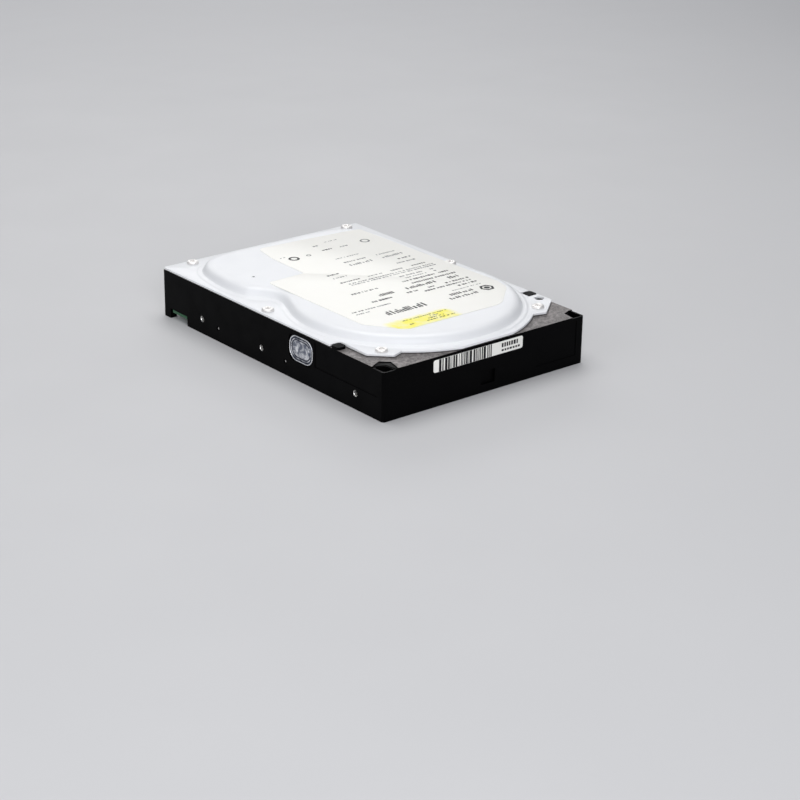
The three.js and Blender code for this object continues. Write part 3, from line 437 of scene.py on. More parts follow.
class Shape:
    """Mesh under construction, in millimetres."""

    def __init__(self):
        self.mesh = bmesh.new()

    def loop(self, points, z):
        return [self.mesh.verts.new((p[0], p[1], z)) for p in points]

    def bridge(self, low, high):
        count = len(low)
        for i in range(count):
            j = (i + 1) % count
            self.mesh.faces.new((low[i], low[j], high[j], high[i]))

    def skin(self, loops):
        """Closed skin through loops, capped at both ends."""
        for low, high in zip(loops, loops[1:]):
            self.bridge(low, high)
        self.cap(loops[0])
        self.cap(loops[-1])

    def band(self, loops):
        """Skin through loops and back to the first, like the inside and outside of a ring."""
        for low, high in zip(loops, [*loops[1:], loops[0]]):
            self.bridge(low, high)

    def cap(self, loop, down=False):
        self.mesh.faces.new(list(reversed(loop)) if down else loop)

    def fill(self, *loops):
        """Flat face between an outer loop and the loops inside it."""
        edges = []
        for loop in loops:
            for i, vert in enumerate(loop):
                pair = (vert, loop[(i + 1) % len(loop)])
                edges.append(self.mesh.edges.get(pair) or self.mesh.edges.new(pair))
        bmesh.ops.triangle_fill(self.mesh, use_beauty=True, edges=edges)

    def stack(self, outlines, heights, bottom=True, top=True):
        """Skin through outlines with equal numbers of points. Returns its lowest and highest loops."""
        loops = [self.loop(points, z) for points, z in zip(outlines, heights)]
        for low, high in zip(loops, loops[1:]):
            self.bridge(low, high)
        if bottom:
            self.cap(loops[0], down=True)
        if top:
            self.cap(loops[-1])
        return loops[0], loops[-1]

    def slab(self, points, bottom, top, edge=0.0):
        """Upright plate with its rims rounded by edge."""
        if edge <= 0:
            return self.stack([points, points], [bottom, top])
        soft = edge * 0.3
        rims = [inset(points, edge), inset(points, soft), points]
        heights = [bottom, bottom + soft, bottom + edge, top - edge, top - soft, top]
        return self.stack(rims + rims[::-1], heights)

    def turn(self, centre, profile, steps=32):
        """Solid of revolution about Z through (radius, z) pairs that start and end on the axis."""
        rings = []
        for radius, z in profile:
            if radius == 0:
                rings.append([self.mesh.verts.new((centre[0], centre[1], z))])
            else:
                rings.append(self.loop(circle(centre, radius, steps), z))
        for low, high in zip(rings, rings[1:]):
            for i in range(steps):
                j = (i + 1) % steps
                lower = [low[i % len(low)], low[j % len(low)]]
                upper = [high[j % len(high)], high[i % len(high)]]
                self.mesh.faces.new(list(dict.fromkeys(lower + upper)))

    def tube(self, centre, profile, steps=32):
        """Ring about Z whose section is the closed loop of (radius, z) pairs."""
        self.band([self.loop(circle(centre, radius, steps), z) for radius, z in profile])

    def box(self, x0, x1, y0, y1, z0, z1):
        corners = [(x0, y0), (x1, y0), (x1, y1), (x0, y1)]
        self.stack([corners, corners], [z0, z1])

    def build(self, name, look, turn_to=None):
        """Closes the mesh into an object in metres."""
        bmesh.ops.recalc_face_normals(self.mesh, faces=self.mesh.faces)
        data = bpy.data.meshes.new(name)
        self.mesh.to_mesh(data)
        self.mesh.free()
        data.transform(Matrix.Scale(MM, 4) @ (turn_to or Matrix()))
        data.materials.append(look.material)
        piece = bpy.data.objects.new(name, data)
        bpy.context.scene.collection.objects.link(piece)
        return piece

    def finish(self, name, slot, look=None, bevel=0.0, turn_to=None, smooth_angle=32, replaces=()):
        """Closes the mesh into a named piece of the chassis."""
        piece = self.build(name, look or FINISHES[slot], turn_to)
        if bevel:
            soften(piece, bevel)
        piece.data.shade_smooth()
        piece.data.set_sharp_from_angle(angle=math.radians(smooth_angle))
        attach(piece, "chassis")
        if replaces:
            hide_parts(*replaces)


def soften(piece, width, segments=2, angle=35):
    """Rounds the hard edges of a piece."""
    bevel = piece.modifiers.new("soft_edges", "BEVEL")
    bevel.width = width * MM
    bevel.segments = segments
    bevel.limit_method = "ANGLE"
    bevel.angle_limit = math.radians(angle)
    bevel.harden_normals = True


# ---- Top cover ---------------------------------------------------------------


NOTCH = {"rear": -41, "front": -46.4, "side": 46}
EAR_FRONT = -64.3
EAR_REAR = {"left": -57, "right": -54.6}
EAR_SIDE = {"left": -38.3, "right": 38.8}
FRONT_ARC = {"radius": 51.3, "left": -130.5, "right": -49.5, "steps": 24}
FLANGE_CORNER = 1
EAR_CORNER = 1.5
NOTCH_CORNER = 0.4


def cover_outline(edge=0.0):
    """Outline of the cover flange, counter-clockwise from the rear left corner, drawn in by edge."""
    side = HALF_WIDTH - edge
    rear = COVER_HIGH.y - edge
    notch_rear = NOTCH["rear"] + edge
    notch_front = NOTCH["front"] - edge
    notch_side = NOTCH["side"] - edge
    tab = EAR_FRONT + edge
    reach, steps = FRONT_ARC["radius"] - edge, FRONT_ARC["steps"]
    front_flat = COVER_LOW.y + edge
    flat = math.degrees(math.acos((SPINDLE.y - front_flat) / reach))
    return filleted([
        (-side, rear, FLANGE_CORNER), (-side, notch_rear, NOTCH_CORNER),
        (-notch_side, notch_rear, NOTCH_CORNER),
        (-notch_side, EAR_REAR["left"] + edge, EAR_CORNER), (EAR_SIDE["left"], tab, FLANGE_CORNER),
        *arc(SPINDLE, reach, FRONT_ARC["left"], -90 - flat, steps),
        *arc(SPINDLE, reach, -90 + flat, FRONT_ARC["right"], steps),
        (EAR_SIDE["right"], tab, FLANGE_CORNER), (side, EAR_REAR["right"], EAR_CORNER),
        (side, notch_front, NOTCH_CORNER), (notch_side, notch_front, NOTCH_CORNER),
        (notch_side, notch_rear, NOTCH_CORNER), (side, notch_rear, NOTCH_CORNER),
        (side, rear, FLANGE_CORNER),
    ])


DOME = {"radius": 46.6, "start": 154.5, "stop": 379, "steps": 120}
DOME_REAR = [
    (41.6, 3), (43.6, 15), (44.4, 35), (42.6, 54), (36, 62), (25, 65.8), (0, 66), (-25, 65.8),
    (-37, 62.2), (-43.8, 53), (-46.6, 36), (-45.4, 23), (-40.6, 16.4), (-38, 8),
]


def dome_outline():
    """Foot of the raised dome: round over the discs, then a block with a valley at each mid screw."""
    radius, start, stop = DOME["radius"], DOME["start"], DOME["stop"]
    points = [polar(SPINDLE, radius, stop), *map(Vector, DOME_REAR), polar(SPINDLE, radius, start)]
    return [*arc(SPINDLE, radius, start, stop, DOME["steps"]), *smooth_path(points, 9)[1:-1]]


# Section of the dome: distance inside its foot, height above the flange.
DOME_PROFILE = [
    (-2.7, 0), (-2.45, 0.04), (-2.1, 0.22), (-1.8, 0.34), (-1.4, 0.38), (-0.7, 0.42), (-0.2, 0.56),
    (0.15, 0.9), (0.5, 1.5), (0.95, 2.3), (1.45, 2.95), (2.1, 3.4), (3, 3.68), (4.2, 3.84), (5.6, 3.9),
]
CEILING = COVER_TOP - SHEET
# Section of the dome's underside: distance inside its foot, height.
DOME_INSIDE = [(0.4, FLANGE_BOTTOM), (1.6, CEILING - 0.9), (3, CEILING)]
SHEET_EDGE = 0.18
SHEET_EDGE_MID = 0.05
TAB_HOLE = (47.6, -50.6)
TAB_HOLE_RADIUS = 2


def make_cover():
    shape = Shape()
    outline = [cover_outline(edge) for edge in (0, 0, SHEET_EDGE_MID, SHEET_EDGE)]
    heights = [FLANGE_BOTTOM, FLANGE_TOP - SHEET_EDGE, FLANGE_TOP - SHEET_EDGE_MID, FLANGE_TOP]
    under, rim = shape.stack(outline, heights, bottom=False, top=False)
    foot = dome_outline()
    skin = [inset(foot, distance) for distance, _ in DOME_PROFILE]
    rise = (COVER_TOP - FLANGE_TOP) / DOME_PROFILE[-1][1]
    levels = [FLANGE_TOP + height * rise for _, height in DOME_PROFILE]
    dome_foot, _ = shape.stack(skin, levels, bottom=False)
    inside = [inset(foot, distance) for distance, _ in DOME_INSIDE]
    mouth, _ = shape.stack(inside, [height for _, height in DOME_INSIDE], bottom=False)
    hole = circle(TAB_HOLE, TAB_HOLE_RADIUS, 28)
    low, high = shape.stack([hole, hole], [FLANGE_BOTTOM, FLANGE_TOP], bottom=False, top=False)
    shape.fill(rim, dome_foot, high)
    shape.fill(under, mouth, low)
    shape.finish("cover_pressing", "cover_silver", smooth_angle=25, replaces=["top_cover"])


# ---- Screws ------------------------------------------------------------------


SCREW_STEPS = 48


def star(centre, radius, depth):
    """Six-lobed outline."""
    turns = [360 * i / SCREW_STEPS for i in range(SCREW_STEPS)]
    return [polar(centre, radius + depth * math.cos(math.radians(6 * turn)), turn) for turn in turns]


# Pan head from its seat up: share of the head's radius, share of its height.
HEAD_SECTION = [(0.93, 0.0), (1, 0.08), (1, 0.5), (0.96, 0.72), (0.86, 0.9), (0.7, 1.0)]
# Socket from its mouth down: share of its radius, share of lobe depth, depth below the head's top.
SOCKET_SECTION = [(1, 0.15, 0.02), (0.94, 0.13, 0.1)]
SOCKET_MOUTH = 1.3
SOCKET_FLOOR = {"radius": 0.9, "lobe": 0.13, "depth": 0.6}
SHANK = {"radius": 1.25, "tip_radius": 1, "tip": 0.4, "shortfall": 0.1, "lap": 0.05}


def star_screw(name, node, radius, seat, height, socket, down=False):
    """Pan-head screw with a six-lobed socket. Its shank is a plain rod below the head."""
    low, high = mm_box(node)
    centre = ((low.x + high.x) / 2, (low.y + high.y) / 2)
    top = seat + height
    shape = Shape()
    outlines = [circle(centre, radius * share, SCREW_STEPS) for share, _ in HEAD_SECTION]
    outlines.append(circle(centre, socket * SOCKET_MOUTH, SCREW_STEPS))
    outlines += [star(centre, socket * share, socket * lobe) for share, lobe, _ in SOCKET_SECTION]
    outlines.append(star(centre, socket * SOCKET_FLOOR["radius"], socket * SOCKET_FLOOR["lobe"]))
    heights = [seat + height * rise for _, rise in HEAD_SECTION]
    heights += [top, *(top - depth for _, _, depth in SOCKET_SECTION)]
    heights.append(top - height * SOCKET_FLOOR["depth"])
    shape.stack(outlines, heights)
    tip = seat - ((high.z - low.z) - height - SHANK["shortfall"])
    neck = seat + SHANK["lap"]
    shape.turn(centre, [
        (0, tip), (SHANK["tip_radius"], tip), (SHANK["radius"], tip + SHANK["tip"]),
        (SHANK["radius"], neck), (0, neck),
    ], 20)
    flip = None
    if down:
        pivot = Matrix.Translation((centre[0], 0, seat))
        flip = pivot @ Matrix.Rotation(math.pi, 4, "Y") @ pivot.inverted()
    shape.finish(name, "hard_steel", ZINC, turn_to=flip, smooth_angle=30, replaces=[node])


SEAT_GAP = 0.02
COVER_SCREW = {"radius": 2.5, "socket": 1.15}
BOARD_SCREW = {"radius": 2.2, "socket": 0.9}


def make_cover_screws():
    seat = FLANGE_TOP + SEAT_GAP
    for node in sorted(COVER_SCREW_NODES):
        height = mm_box(node)[1].z - seat
        star_screw(node + "_star", node, COVER_SCREW["radius"], seat, height, COVER_SCREW["socket"])


# ---- Labels ------------------------------------------------------------------

LABEL_CORNERS = [
    (-24, -54.5, 5), (24, -54.5, 10), (38.6, -41, 6), (40.6, -33, 2), (38.6, 55, 2), (8, 57.6, 2),
    (-12.6, 58.6, 3), (-15.3, 45, 2), (-16, 21.6, 1.5), (-34.6, 21, 2), (-34.6, -40, 6),
]
LABEL_TOP = mm_box("product_label")[1].z - 0.03
INK_FOOT = LABEL_TOP - 0.01
INK_TOP = LABEL_TOP + 0.012


def make_label():
    shape = Shape()
    shape.slab(filleted(LABEL_CORNERS, 10), COVER_TOP + 0.005, LABEL_TOP, 0.04)
    shape.finish("label_sheet", "label_paper", replaces=["product_label"])


def dash_row(shape, dice, x0, x1, y, height):
    """A row of short ink bars that stands in for a line of print."""
    x = x0
    while x < x1 - 0.5:
        length = min(dice.uniform(0.4, 1.3), x1 - x)
        tall = height * dice.choice((0.8, 1, 1.15))
        shape.box(x, x + length, y - tall / 2, y + tall / 2, INK_FOOT, INK_TOP)
        x += length + dice.choice((0.3, 0.35, 0.4, 1.0))


def tall_row(shape, dice, x0, x1, y, height):
    """Larger marks: upright bars of uneven width, some of them short."""
    x = x0
    while x < x1 - 0.6:
        width = dice.uniform(0.45, 0.8) + height * 0.05
        tall = height * dice.choice((0.65, 1, 1))
        shape.box(x, x + width, y - height / 2, y - height / 2 + tall, INK_FOOT, INK_TOP)
        x += width + dice.choice((0.35, 0.45, 0.9))


def ring_mark(shape, centre, outer, inner, steps=40):
    section = [(outer, INK_FOOT), (outer, INK_TOP), (inner, INK_TOP), (inner, INK_FOOT)]
    shape.tube(centre, section, steps)


# Lines of print as spans: left, right, level, height.
PALE_LINES = [
    (-10, 34, -0.4, 0.8), (-10, 34, -2.1, 0.8), (12, 24, -5.5, 0.9), (28, 31, -5.5, 0.9),
    (13, 24, -8, 0.8), (28, 30, -8, 0.8), (-30, -10, -28, 0.9), (-30, -22, -30.6, 0.8),
    (18, 34, -31.4, 0.5), (-8, -3, -48.4, 0.6), (5, 17, 22.3, 1), (22, 33, 22.3, 1),
    (5, 17, 28, 0.6), (2, 10, 2.6, 0.8), (14, 20, 2.6, 1), (-11, -4, 8.6, 1), (22, 33, 8.6, 1),
    (16.5, 20.5, 40, 0.9), (7.5, 10, 47, 1), (15, 22, 49, 0.6), (-13, -10, 42.5, 0.5),
]
DARK_LINES = [
    (-17, -3, -11, 1.1), (9, 26, -11, 1.1), (28, 33, -11, 1.1), (11, 34, -14.6, 1.2),
    (-16, -6, -22.8, 1.3), (2, 8, -22.5, 1.1), (13, 16, -22.5, 1.2), (22, 34, -22.5, 1.1),
    (9, 34, -25.2, 1.1), (24, 34, -28, 1.2), (-20, 2, -46.7, 0.6), (-10, -2, -50, 0.6),
    (-20, -18, -51.2, 0.8), (-12, 2, -51.8, 0.6), (-11, -4, 12.8, 1), (26, 33, 12.8, 1),
    (-12, -2, 2.6, 1), (25, 33, 2.6, 1), (7.5, 12.5, 40.5, 1),
]
TALL_LINES = [
    (-9, -1, -18.3, 2.2), (5, 20, -18.3, 2.2), (27, 32, -18.3, 2.4), (14, 26, -34.8, 2),
    (11, 26, -38.4, 1.9), (-20, -1, -36.5, 4),
]
PALE_TALL_LINES = [(5, 17, 18.2, 1.8), (22, 33, 18.2, 1.8)]
# Plain rings in the print: centre, outer radius, inner radius.
DARK_RINGS = [((-8.4, 38.9), 2.4, 1.4)]
PALE_RINGS = [((30.2, 40.4), 2.2, 1.4), ((-0.8, 38.9), 1.1, 0.6)]
BADGE = {"centre": (31.6, -36.8), "outer": 3.2, "inner": 2.1, "core": 1.4}


def make_label_print():
    dice = random.Random(11)
    pale = Shape()
    dark = Shape()
    for line in PALE_LINES:
        dash_row(pale, dice, *line)
    for line in PALE_TALL_LINES:
        tall_row(pale, dice, *line)
    for line in DARK_LINES:
        dash_row(dark, dice, *line)
    for line in TALL_LINES:
        tall_row(dark, dice, *line)
    for ring in DARK_RINGS:
        ring_mark(dark, *ring)
    for ring in PALE_RINGS:
        ring_mark(pale, *ring)
    pale.finish("label_print_pale", "label_paper", INK)
    dark.finish("label_print_dark", "label_paper", BAR_INK)


def make_generic_mark():
    """A plain badge: a hexagon inside a hexagonal ring."""
    shape = Shape()
    ring_mark(shape, BADGE["centre"], BADGE["outer"], BADGE["inner"], 6)
    shape.stack([circle(BADGE["centre"], BADGE["core"], 6)] * 2, [INK_FOOT, INK_TOP])
    shape.finish("label_badge", "label_paper", BAR_INK)


BREATHER = (-34.9, 30.6)
BREATHER_RIM = [(0.55, 0), (0.6, 0.08), (0.8, 0.1), (1.05, 0.02), (1.05, 0)]
BREATHER_HOLE = [(0, 0), (0.56, 0), (0.56, 0.03), (0, 0.03)]


def make_breather():
    """Small filtered port pressed into the bare part of the cover."""
    rim = Shape()
    rim.tube(BREATHER, [(radius, COVER_TOP + rise) for radius, rise in BREATHER_RIM], 28)
    rim.finish("breather_rim", "cover_silver")
    hole = Shape()
    # The port's opening is drawn as a flat near-black disc on the cover: painted shade.
    hole.turn(BREATHER, [(radius, COVER_TOP + rise) for radius, rise in BREATHER_HOLE], 28)
    hole.finish("breather_hole_shade", "filter_felt", BAR_INK)


BAR_SPAN = {"start": 2.6, "stop": 28.5, "widths": (0.3, 0.45, 0.6, 0.9, 1.2), "gaps": (0.3, 0.45, 0.7)}
# Rows of short marks beside the bars: level, height, clearance at the right end.
FRONT_ROWS = ((16.5, 1.7, 3.2), (14.9, 0.8, 2.4))
FRONT_ROW_START = 34


def make_front_label():
    """Bar label on the front face, drawn flat and stood up so that its print faces -Y."""
    depth = FRONT_HIGH.y - FRONT_LOW.y
    stand = Matrix.Translation((0, FRONT_HIGH.y, 0)) @ Matrix.Rotation(math.pi / 2, 4, "X")
    sheet = Shape()
    outline = rectangle(FRONT_LOW.x, FRONT_HIGH.x, FRONT_LOW.z, FRONT_HIGH.z, 0.9)
    sheet.slab(outline, 0, depth - 0.012, 0.03)
    sheet.finish("front_label_sheet", "label_paper", turn_to=stand, replaces=["front_label"])
    dice = random.Random(5)
    bars = Shape()
    foot = depth - 0.03
    x = FRONT_LOW.x + BAR_SPAN["start"]
    while x < FRONT_LOW.x + BAR_SPAN["stop"]:
        width = dice.choice(BAR_SPAN["widths"])
        bars.box(x, x + width, FRONT_LOW.z + 0.05, FRONT_HIGH.z - 0.05, foot, depth)
        x += width + dice.choice(BAR_SPAN["gaps"])
    for low, height, end in FRONT_ROWS:
        x = FRONT_LOW.x + FRONT_ROW_START
        while x < FRONT_HIGH.x - end:
            length = dice.uniform(0.7, 1.3)
            bars.box(x, x + length, low, low + height, foot, depth)
            x += length + 0.4
    bars.finish("front_label_bars", "label_paper", BAR_INK, turn_to=stand)


def scaled(points, centre, x_scale, y_scale):
    moved = [point - centre for point in points]
    return [Vector((centre.x + p.x * x_scale, centre.y + p.y * y_scale)) for p in moved]


# Section of the foil from its edge inwards: share of the half length, depth below the crest.
FOIL_SECTION = [
    (1, 0.36), (1, 0.12), (0.985, 0.03), (0.965, 0.02), (0.95, 0.09), (0.94, 0.2), (0.86, 0.22),
    (0.85, 0.1), (0.845, 0.03), (0.83, 0.02), (0.82, 0.09), (0.81, 0.2), (0.745, 0.2), (0.73, 0.15),
]
FOIL_MIDDLE = [(0.6, 0.12), (0.25, 0.1)]
# Rings laid into the foil: their tone and closed section. The two inner bands carry painted shade, the
# lip a painted highlight.
FOIL_BAND_SECTIONS = [
    (FOIL_SHADE_BAND, [(0.942, 0.22), (0.942, 0.16), (0.855, 0.17), (0.855, 0.24)]),
    (FOIL_SHADE_BAND, [(0.812, 0.22), (0.812, 0.16), (0.745, 0.16), (0.745, 0.22)]),
    (FOIL_HIGHLIGHT_LIP, [(0.998, 0.3), (0.998, 0.09), (0.985, 0.012), (0.96, 0.012), (0.947, 0.12),
                (0.947, 0.3)]),
]


SEAL_CORNER = 4.4


def make_side_seal():
    """Foil seal with two embossed rings in painted shade and a lip in painted highlight, drawn flat
    and stood up so that it faces -X.
    """
    stand = Matrix.Translation((SEAL_HIGH.x, 0, 0)) @ Matrix.Rotation(-math.pi / 2, 4, "Y")
    outline = rectangle(SEAL_LOW.z, SEAL_HIGH.z, SEAL_LOW.y, SEAL_HIGH.y, SEAL_CORNER, 14)
    size = SEAL_HIGH - SEAL_LOW
    centre = Vector(((SEAL_LOW.z + SEAL_HIGH.z) / 2, (SEAL_LOW.y + SEAL_HIGH.y) / 2))
    flatten = size.y / size.z

    def ring(share):
        return scaled(outline, centre, 1 - (1 - share) * flatten, share)

    rings = [ring(share) for share, _ in FOIL_SECTION]
    rings += [scaled(rings[-1], centre, share, share) for share, _ in FOIL_MIDDLE]
    shape = Shape()
    shape.stack(rings, [size.x - depth for _, depth in FOIL_SECTION + FOIL_MIDDLE])
    shape.finish("side_foil", "seal_foil", turn_to=stand, smooth_angle=60,
                 replaces=["side_window_seal"])
    # Bands 1 and 2 are painted shade in the rings; band 3 is a painted highlight along the lip.
    for index, (tone, section) in enumerate(FOIL_BAND_SECTIONS):
        band = Shape()
        band.band([band.loop(ring(share), size.x - depth) for share, depth in section])
        band.finish(f"side_foil_band_{index + 1}", "seal_foil", tone, turn_to=stand)


# ---- Threads, pins and board parts -------------------------------------------

THREAD_PITCH = 0.794
THREAD_ROOT = 1.39
THREAD_CREST = 1.12
THREAD_TURNS = 4
THREAD_START = 0.25
SIDE_HOLES = (28.5, 70.1, 130.1)
BOTTOM_HOLES = (41.28, 85.73, 117.48)
BOTTOM_HOLE_X = 47.625
SIDE_HOLE_HEIGHT = 6.35


def thread_liner(name, places):
    """Bright threads in the fixing holes. Each place turns a liner drawn below z = 0 into its hole."""
    valley = THREAD_ROOT - 0.02
    turn_section = [(valley, 0.02), (THREAD_CREST, 0.32), (THREAD_CREST, 0.4), (valley, 0.71)]
    section = [(THREAD_ROOT, -THREAD_START)]
    for turn in range(THREAD_TURNS):
        level = THREAD_START + turn * THREAD_PITCH
        section += [(radius, -level - depth) for radius, depth in turn_section]
    section.append((THREAD_ROOT, -THREAD_START - THREAD_TURNS * THREAD_PITCH))
    for index, place in enumerate(places):
        shape = Shape()
        shape.tube((0, 0), section, 28)
        shape.finish(f"{name}_{index + 1}", "bare_aluminium", THREAD, turn_to=place, smooth_angle=40)


def make_threads():
    rear = CASTING_HIGH.y
    sides = []
    for hand in (-1, 1):
        for from_rear in SIDE_HOLES:
            turn = Matrix.Rotation(hand * math.pi / 2, 4, "Y")
            mouth = (hand * HALF_WIDTH, rear - from_rear, SIDE_HOLE_HEIGHT)
            sides.append(Matrix.Translation(mouth) @ turn)
    thread_liner("side_thread", sides)
    flip = Matrix.Rotation(math.pi, 4, "X")
    bottoms = [Matrix.Translation((x, rear - from_rear, 0)) @ flip
               for x in (-BOTTOM_HOLE_X, BOTTOM_HOLE_X) for from_rear in BOTTOM_HOLES]
    thread_liner("bottom_thread", bottoms)


DIMPLES = ((33.7, 5.5), (-12.3, 5.5))
DIMPLE_FLOOR = [(0, -0.58), (0.66, -0.58), (0.45, -0.4), (0, -0.34)]


def make_dimples():
    """A bright metal disc at the bottom of each of the two small marks in the left side: a painted
    glint.
    """
    turn = Matrix.Rotation(-math.pi / 2, 4, "Y")
    for index, (y, z) in enumerate(DIMPLES):
        shape = Shape()
        shape.turn((0, 0), DIMPLE_FLOOR, 20)
        place = Matrix.Translation((-HALF_WIDTH, y, z)) @ turn
        shape.finish(f"side_dimple_glint_{index + 1}", "bare_aluminium", THREAD, turn_to=place)


PIN_PITCH = 2.54
PIN_HALF = 0.32
POWER_PITCH = 5.08
POWER_STEPS = (-1.5, -0.5, 0.5, 1.5)
POWER_PIN = [(0, 0), (1.05, 0), (1.05, 5.6), (0.95, 6.3), (0.6, 6.9), (0, 7.0)]
POWER_PIN_HEIGHT = 8.3
POWER_PIN_ROOT = 2.1
PIN_BEVEL = 0.7
HEADER_COLUMNS = 20
HEADER_ROWS = (6.93, 9.47)
HEADER_BLANK = (10, 1)
HEADER_ROOT = 2.2
HEADER_TIP = 1.1
OPTION_COLUMNS = range(-3, 2)
OPTION_ROOT = 0.4
OPTION_TIP = 0.9
HEADER_X = middle("data_header").x
SOCKET_X = middle("power_socket").x
JUMPER = middle("jumper_cap")


def square_pin(shape, x, z, root, tip):
    """Square contact that points along +Y and tapers at its tip."""
    spans = ((root, PIN_HALF), (tip - PIN_BEVEL, PIN_HALF), (tip, PIN_HALF * 0.45))
    loops = [[shape.mesh.verts.new((x + sx * half, y, z + sz * half))
              for sx, sz in ((-1, -1), (1, -1), (1, 1), (-1, 1))] for y, half in spans]
    shape.skin(loops)


def header_x(column):
    return HEADER_X + (column - (HEADER_COLUMNS - 1) / 2) * PIN_PITCH


def make_pins():
    header_low, header_high = mm_box("data_header")
    root = header_low.y + HEADER_ROOT
    tip = header_high.y - HEADER_TIP
    gold = Shape()
    for column in range(HEADER_COLUMNS):
        for row, z in enumerate(HEADER_ROWS):
            if (column, row) != HEADER_BLANK:
                square_pin(gold, header_x(column), z, root, tip)
    option_root = mm_box("option_pin_block")[1].y - OPTION_ROOT
    option_tip = header_high.y - OPTION_TIP
    for column in OPTION_COLUMNS:
        for z in (JUMPER.z - PIN_PITCH / 2, JUMPER.z + PIN_PITCH / 2):
            square_pin(gold, JUMPER.x + column * PIN_PITCH, z, option_root, option_tip)
    gold.finish("header_pins", "hard_steel", GOLD)
    power = Shape()
    for step in POWER_STEPS:
        power.turn((SOCKET_X + step * POWER_PITCH, -POWER_PIN_HEIGHT), POWER_PIN, 24)
    root = Matrix.Translation((0, mm_box("power_socket")[0].y + POWER_PIN_ROOT, 0))
    stand = root @ Matrix.Rotation(-math.pi / 2, 4, "X")
    power.finish("power_pins", "hard_steel", TIN, turn_to=stand)


BOARD_FACE = mm_box("circuit_board")[0].z
BOARD_INSIDE = BOARD_FACE + 0.02
TRACE_RELIEF = 0.035
SILK_RELIEF = 0.025
CHIP_NODES = ("controller_chip", "memory_chip", "motor_driver_chip")
CHIP_MARGIN = 2.2
SCREW_MARGIN = 1.2
HOLE_MARGIN = 6.5
MOTOR_MARGIN = 20
LEG_PITCH = 0.8
LEG_WIDTH = 0.36


def leg(shape, foot, root, level):
    """Gull-wing leg from a chip's side (root) out to its foot, in plan; it hangs under the board."""
    out = (foot - root).normalized()
    side = Vector((-out.y, out.x)) * LEG_WIDTH / 2
    path = [(0, level), (0.35, level), (0.55, BOARD_FACE - 0.12), (1, BOARD_FACE - 0.1)]
    span = (foot - root).length
    loops = []
    for share, z in path:
        spot = root + out * span * share
        loops.append([shape.mesh.verts.new((*(spot + side * hand), z + lift))
                      for hand, lift in ((-1, 0), (1, 0), (1, 0.1), (-1, 0.1))])
    shape.skin(loops)


def chip_legs(shape, node, sides, length):
    low, high = mm_box(node)
    level = (low.z + high.z) / 2
    for axis, hand in sides:
        span = (low.y, high.y) if axis == 0 else (low.x, high.x)
        count = int((span[1] - span[0] - 1) / LEG_PITCH)
        start = (span[0] + span[1] - (count - 1) * LEG_PITCH) / 2
        edge = (low, high)[hand][axis]
        out = edge + length * (1 if hand else -1)
        for i in range(count):
            along = start + i * LEG_PITCH
            root, foot = ((edge, along), (out, along)) if axis == 0 else ((along, edge), (along, out))
            leg(shape, Vector(foot), Vector(root), level)


def board_keep_outs():
    """Rectangles of the board's underside, in plan, that loose parts stay clear of."""
    boxes = []
    for node in (*CHIP_NODES, *BOARD_SCREW_NODES):
        low, high = mm_box(node)
        margin = CHIP_MARGIN if node in CHIP_NODES else SCREW_MARGIN
        boxes.append((low.x - margin, high.x + margin, low.y - margin, high.y + margin))
    for x in (-BOTTOM_HOLE_X, BOTTOM_HOLE_X):
        for from_rear in BOTTOM_HOLES:
            y = CASTING_HIGH.y - from_rear
            boxes.append((x - HOLE_MARGIN, x + HOLE_MARGIN, y - HOLE_MARGIN, y + HOLE_MARGIN))
    return boxes


def clear_of(boxes, x, y, half_x, half_y):
    if (Vector((x, y)) - SPINDLE).length < MOTOR_MARGIN + half_x:
        return False
    return all(x + half_x < x0 or x - half_x > x1 or y + half_y < y0 or y - half_y > y1
               for x0, x1, y0, y1 in boxes)


def part_box(shape, place, along, across, upright, bottom, top):
    """Box about a place in plan; its spans along and across are swapped when it is upright."""
    spans = (across, along) if upright else (along, across)
    (x0, x1), (y0, y1) = [(spot + low, spot + high) for spot, (low, high) in zip(place, spans)]
    shape.box(x0, x1, y0, y1, bottom, top)


# Loose parts as half length, half width, height; the flattest kind is a resistor.
PASSIVE_SIZES = ((0.8, 0.42, 0.5), (0.8, 0.42, 0.35), (1.1, 0.62, 0.7))
PASSIVE_TRIES = 420
PASSIVE_FIELD = {"x": (-43, 43), "y": (-9, 60)}
PASSIVE_GAP = 0.5
TRACE_TRIES = 150
TRACE_FIELD = {"x": (-43, 43), "y": (-9, 66)}
TRACE_EDGES = {"side": 45, "front": -11, "rear": 71}
LANE_PITCH = 0.55
LANE_HALF = 0.11
VIA = {"away": 0.8, "radius": 0.42, "bore": 0.2, "relief": 0.02}


def make_passives():
    """Capacitors and resistors scattered over the underside."""
    dice = random.Random(23)
    taken = board_keep_outs()
    bodies, resistors, ends = Shape(), Shape(), Shape()
    top = BOARD_INSIDE
    for _ in range(PASSIVE_TRIES):
        x, y = dice.uniform(*PASSIVE_FIELD["x"]), dice.uniform(*PASSIVE_FIELD["y"])
        upright = dice.random() < 0.5
        length, width, tall = dice.choice(PASSIVE_SIZES)
        half_x, half_y = (width, length) if upright else (length, width)
        if not clear_of(taken, x, y, half_x, half_y):
            continue
        gap = PASSIVE_GAP
        taken.append((x - half_x - gap, x + half_x + gap, y - half_y - gap, y + half_y + gap))
        core = resistors if tall < 0.4 else bodies
        inner = length * 0.62
        side = width * 0.96
        part_box(core, (x, y), (-inner, inner), (-side, side), upright, top - tall, top)
        for span in ((-length, -inner), (inner, length)):
            part_box(ends, (x, y), span, (-width, width), upright, top - tall - 0.03, top)
    bodies.finish("board_capacitors", "board_green", CERAMIC)
    resistors.finish("board_resistors", "board_green", FINISHES["chip_black"])
    ends.finish("board_part_ends", "board_green", TIN, bevel=0.06)
    return taken


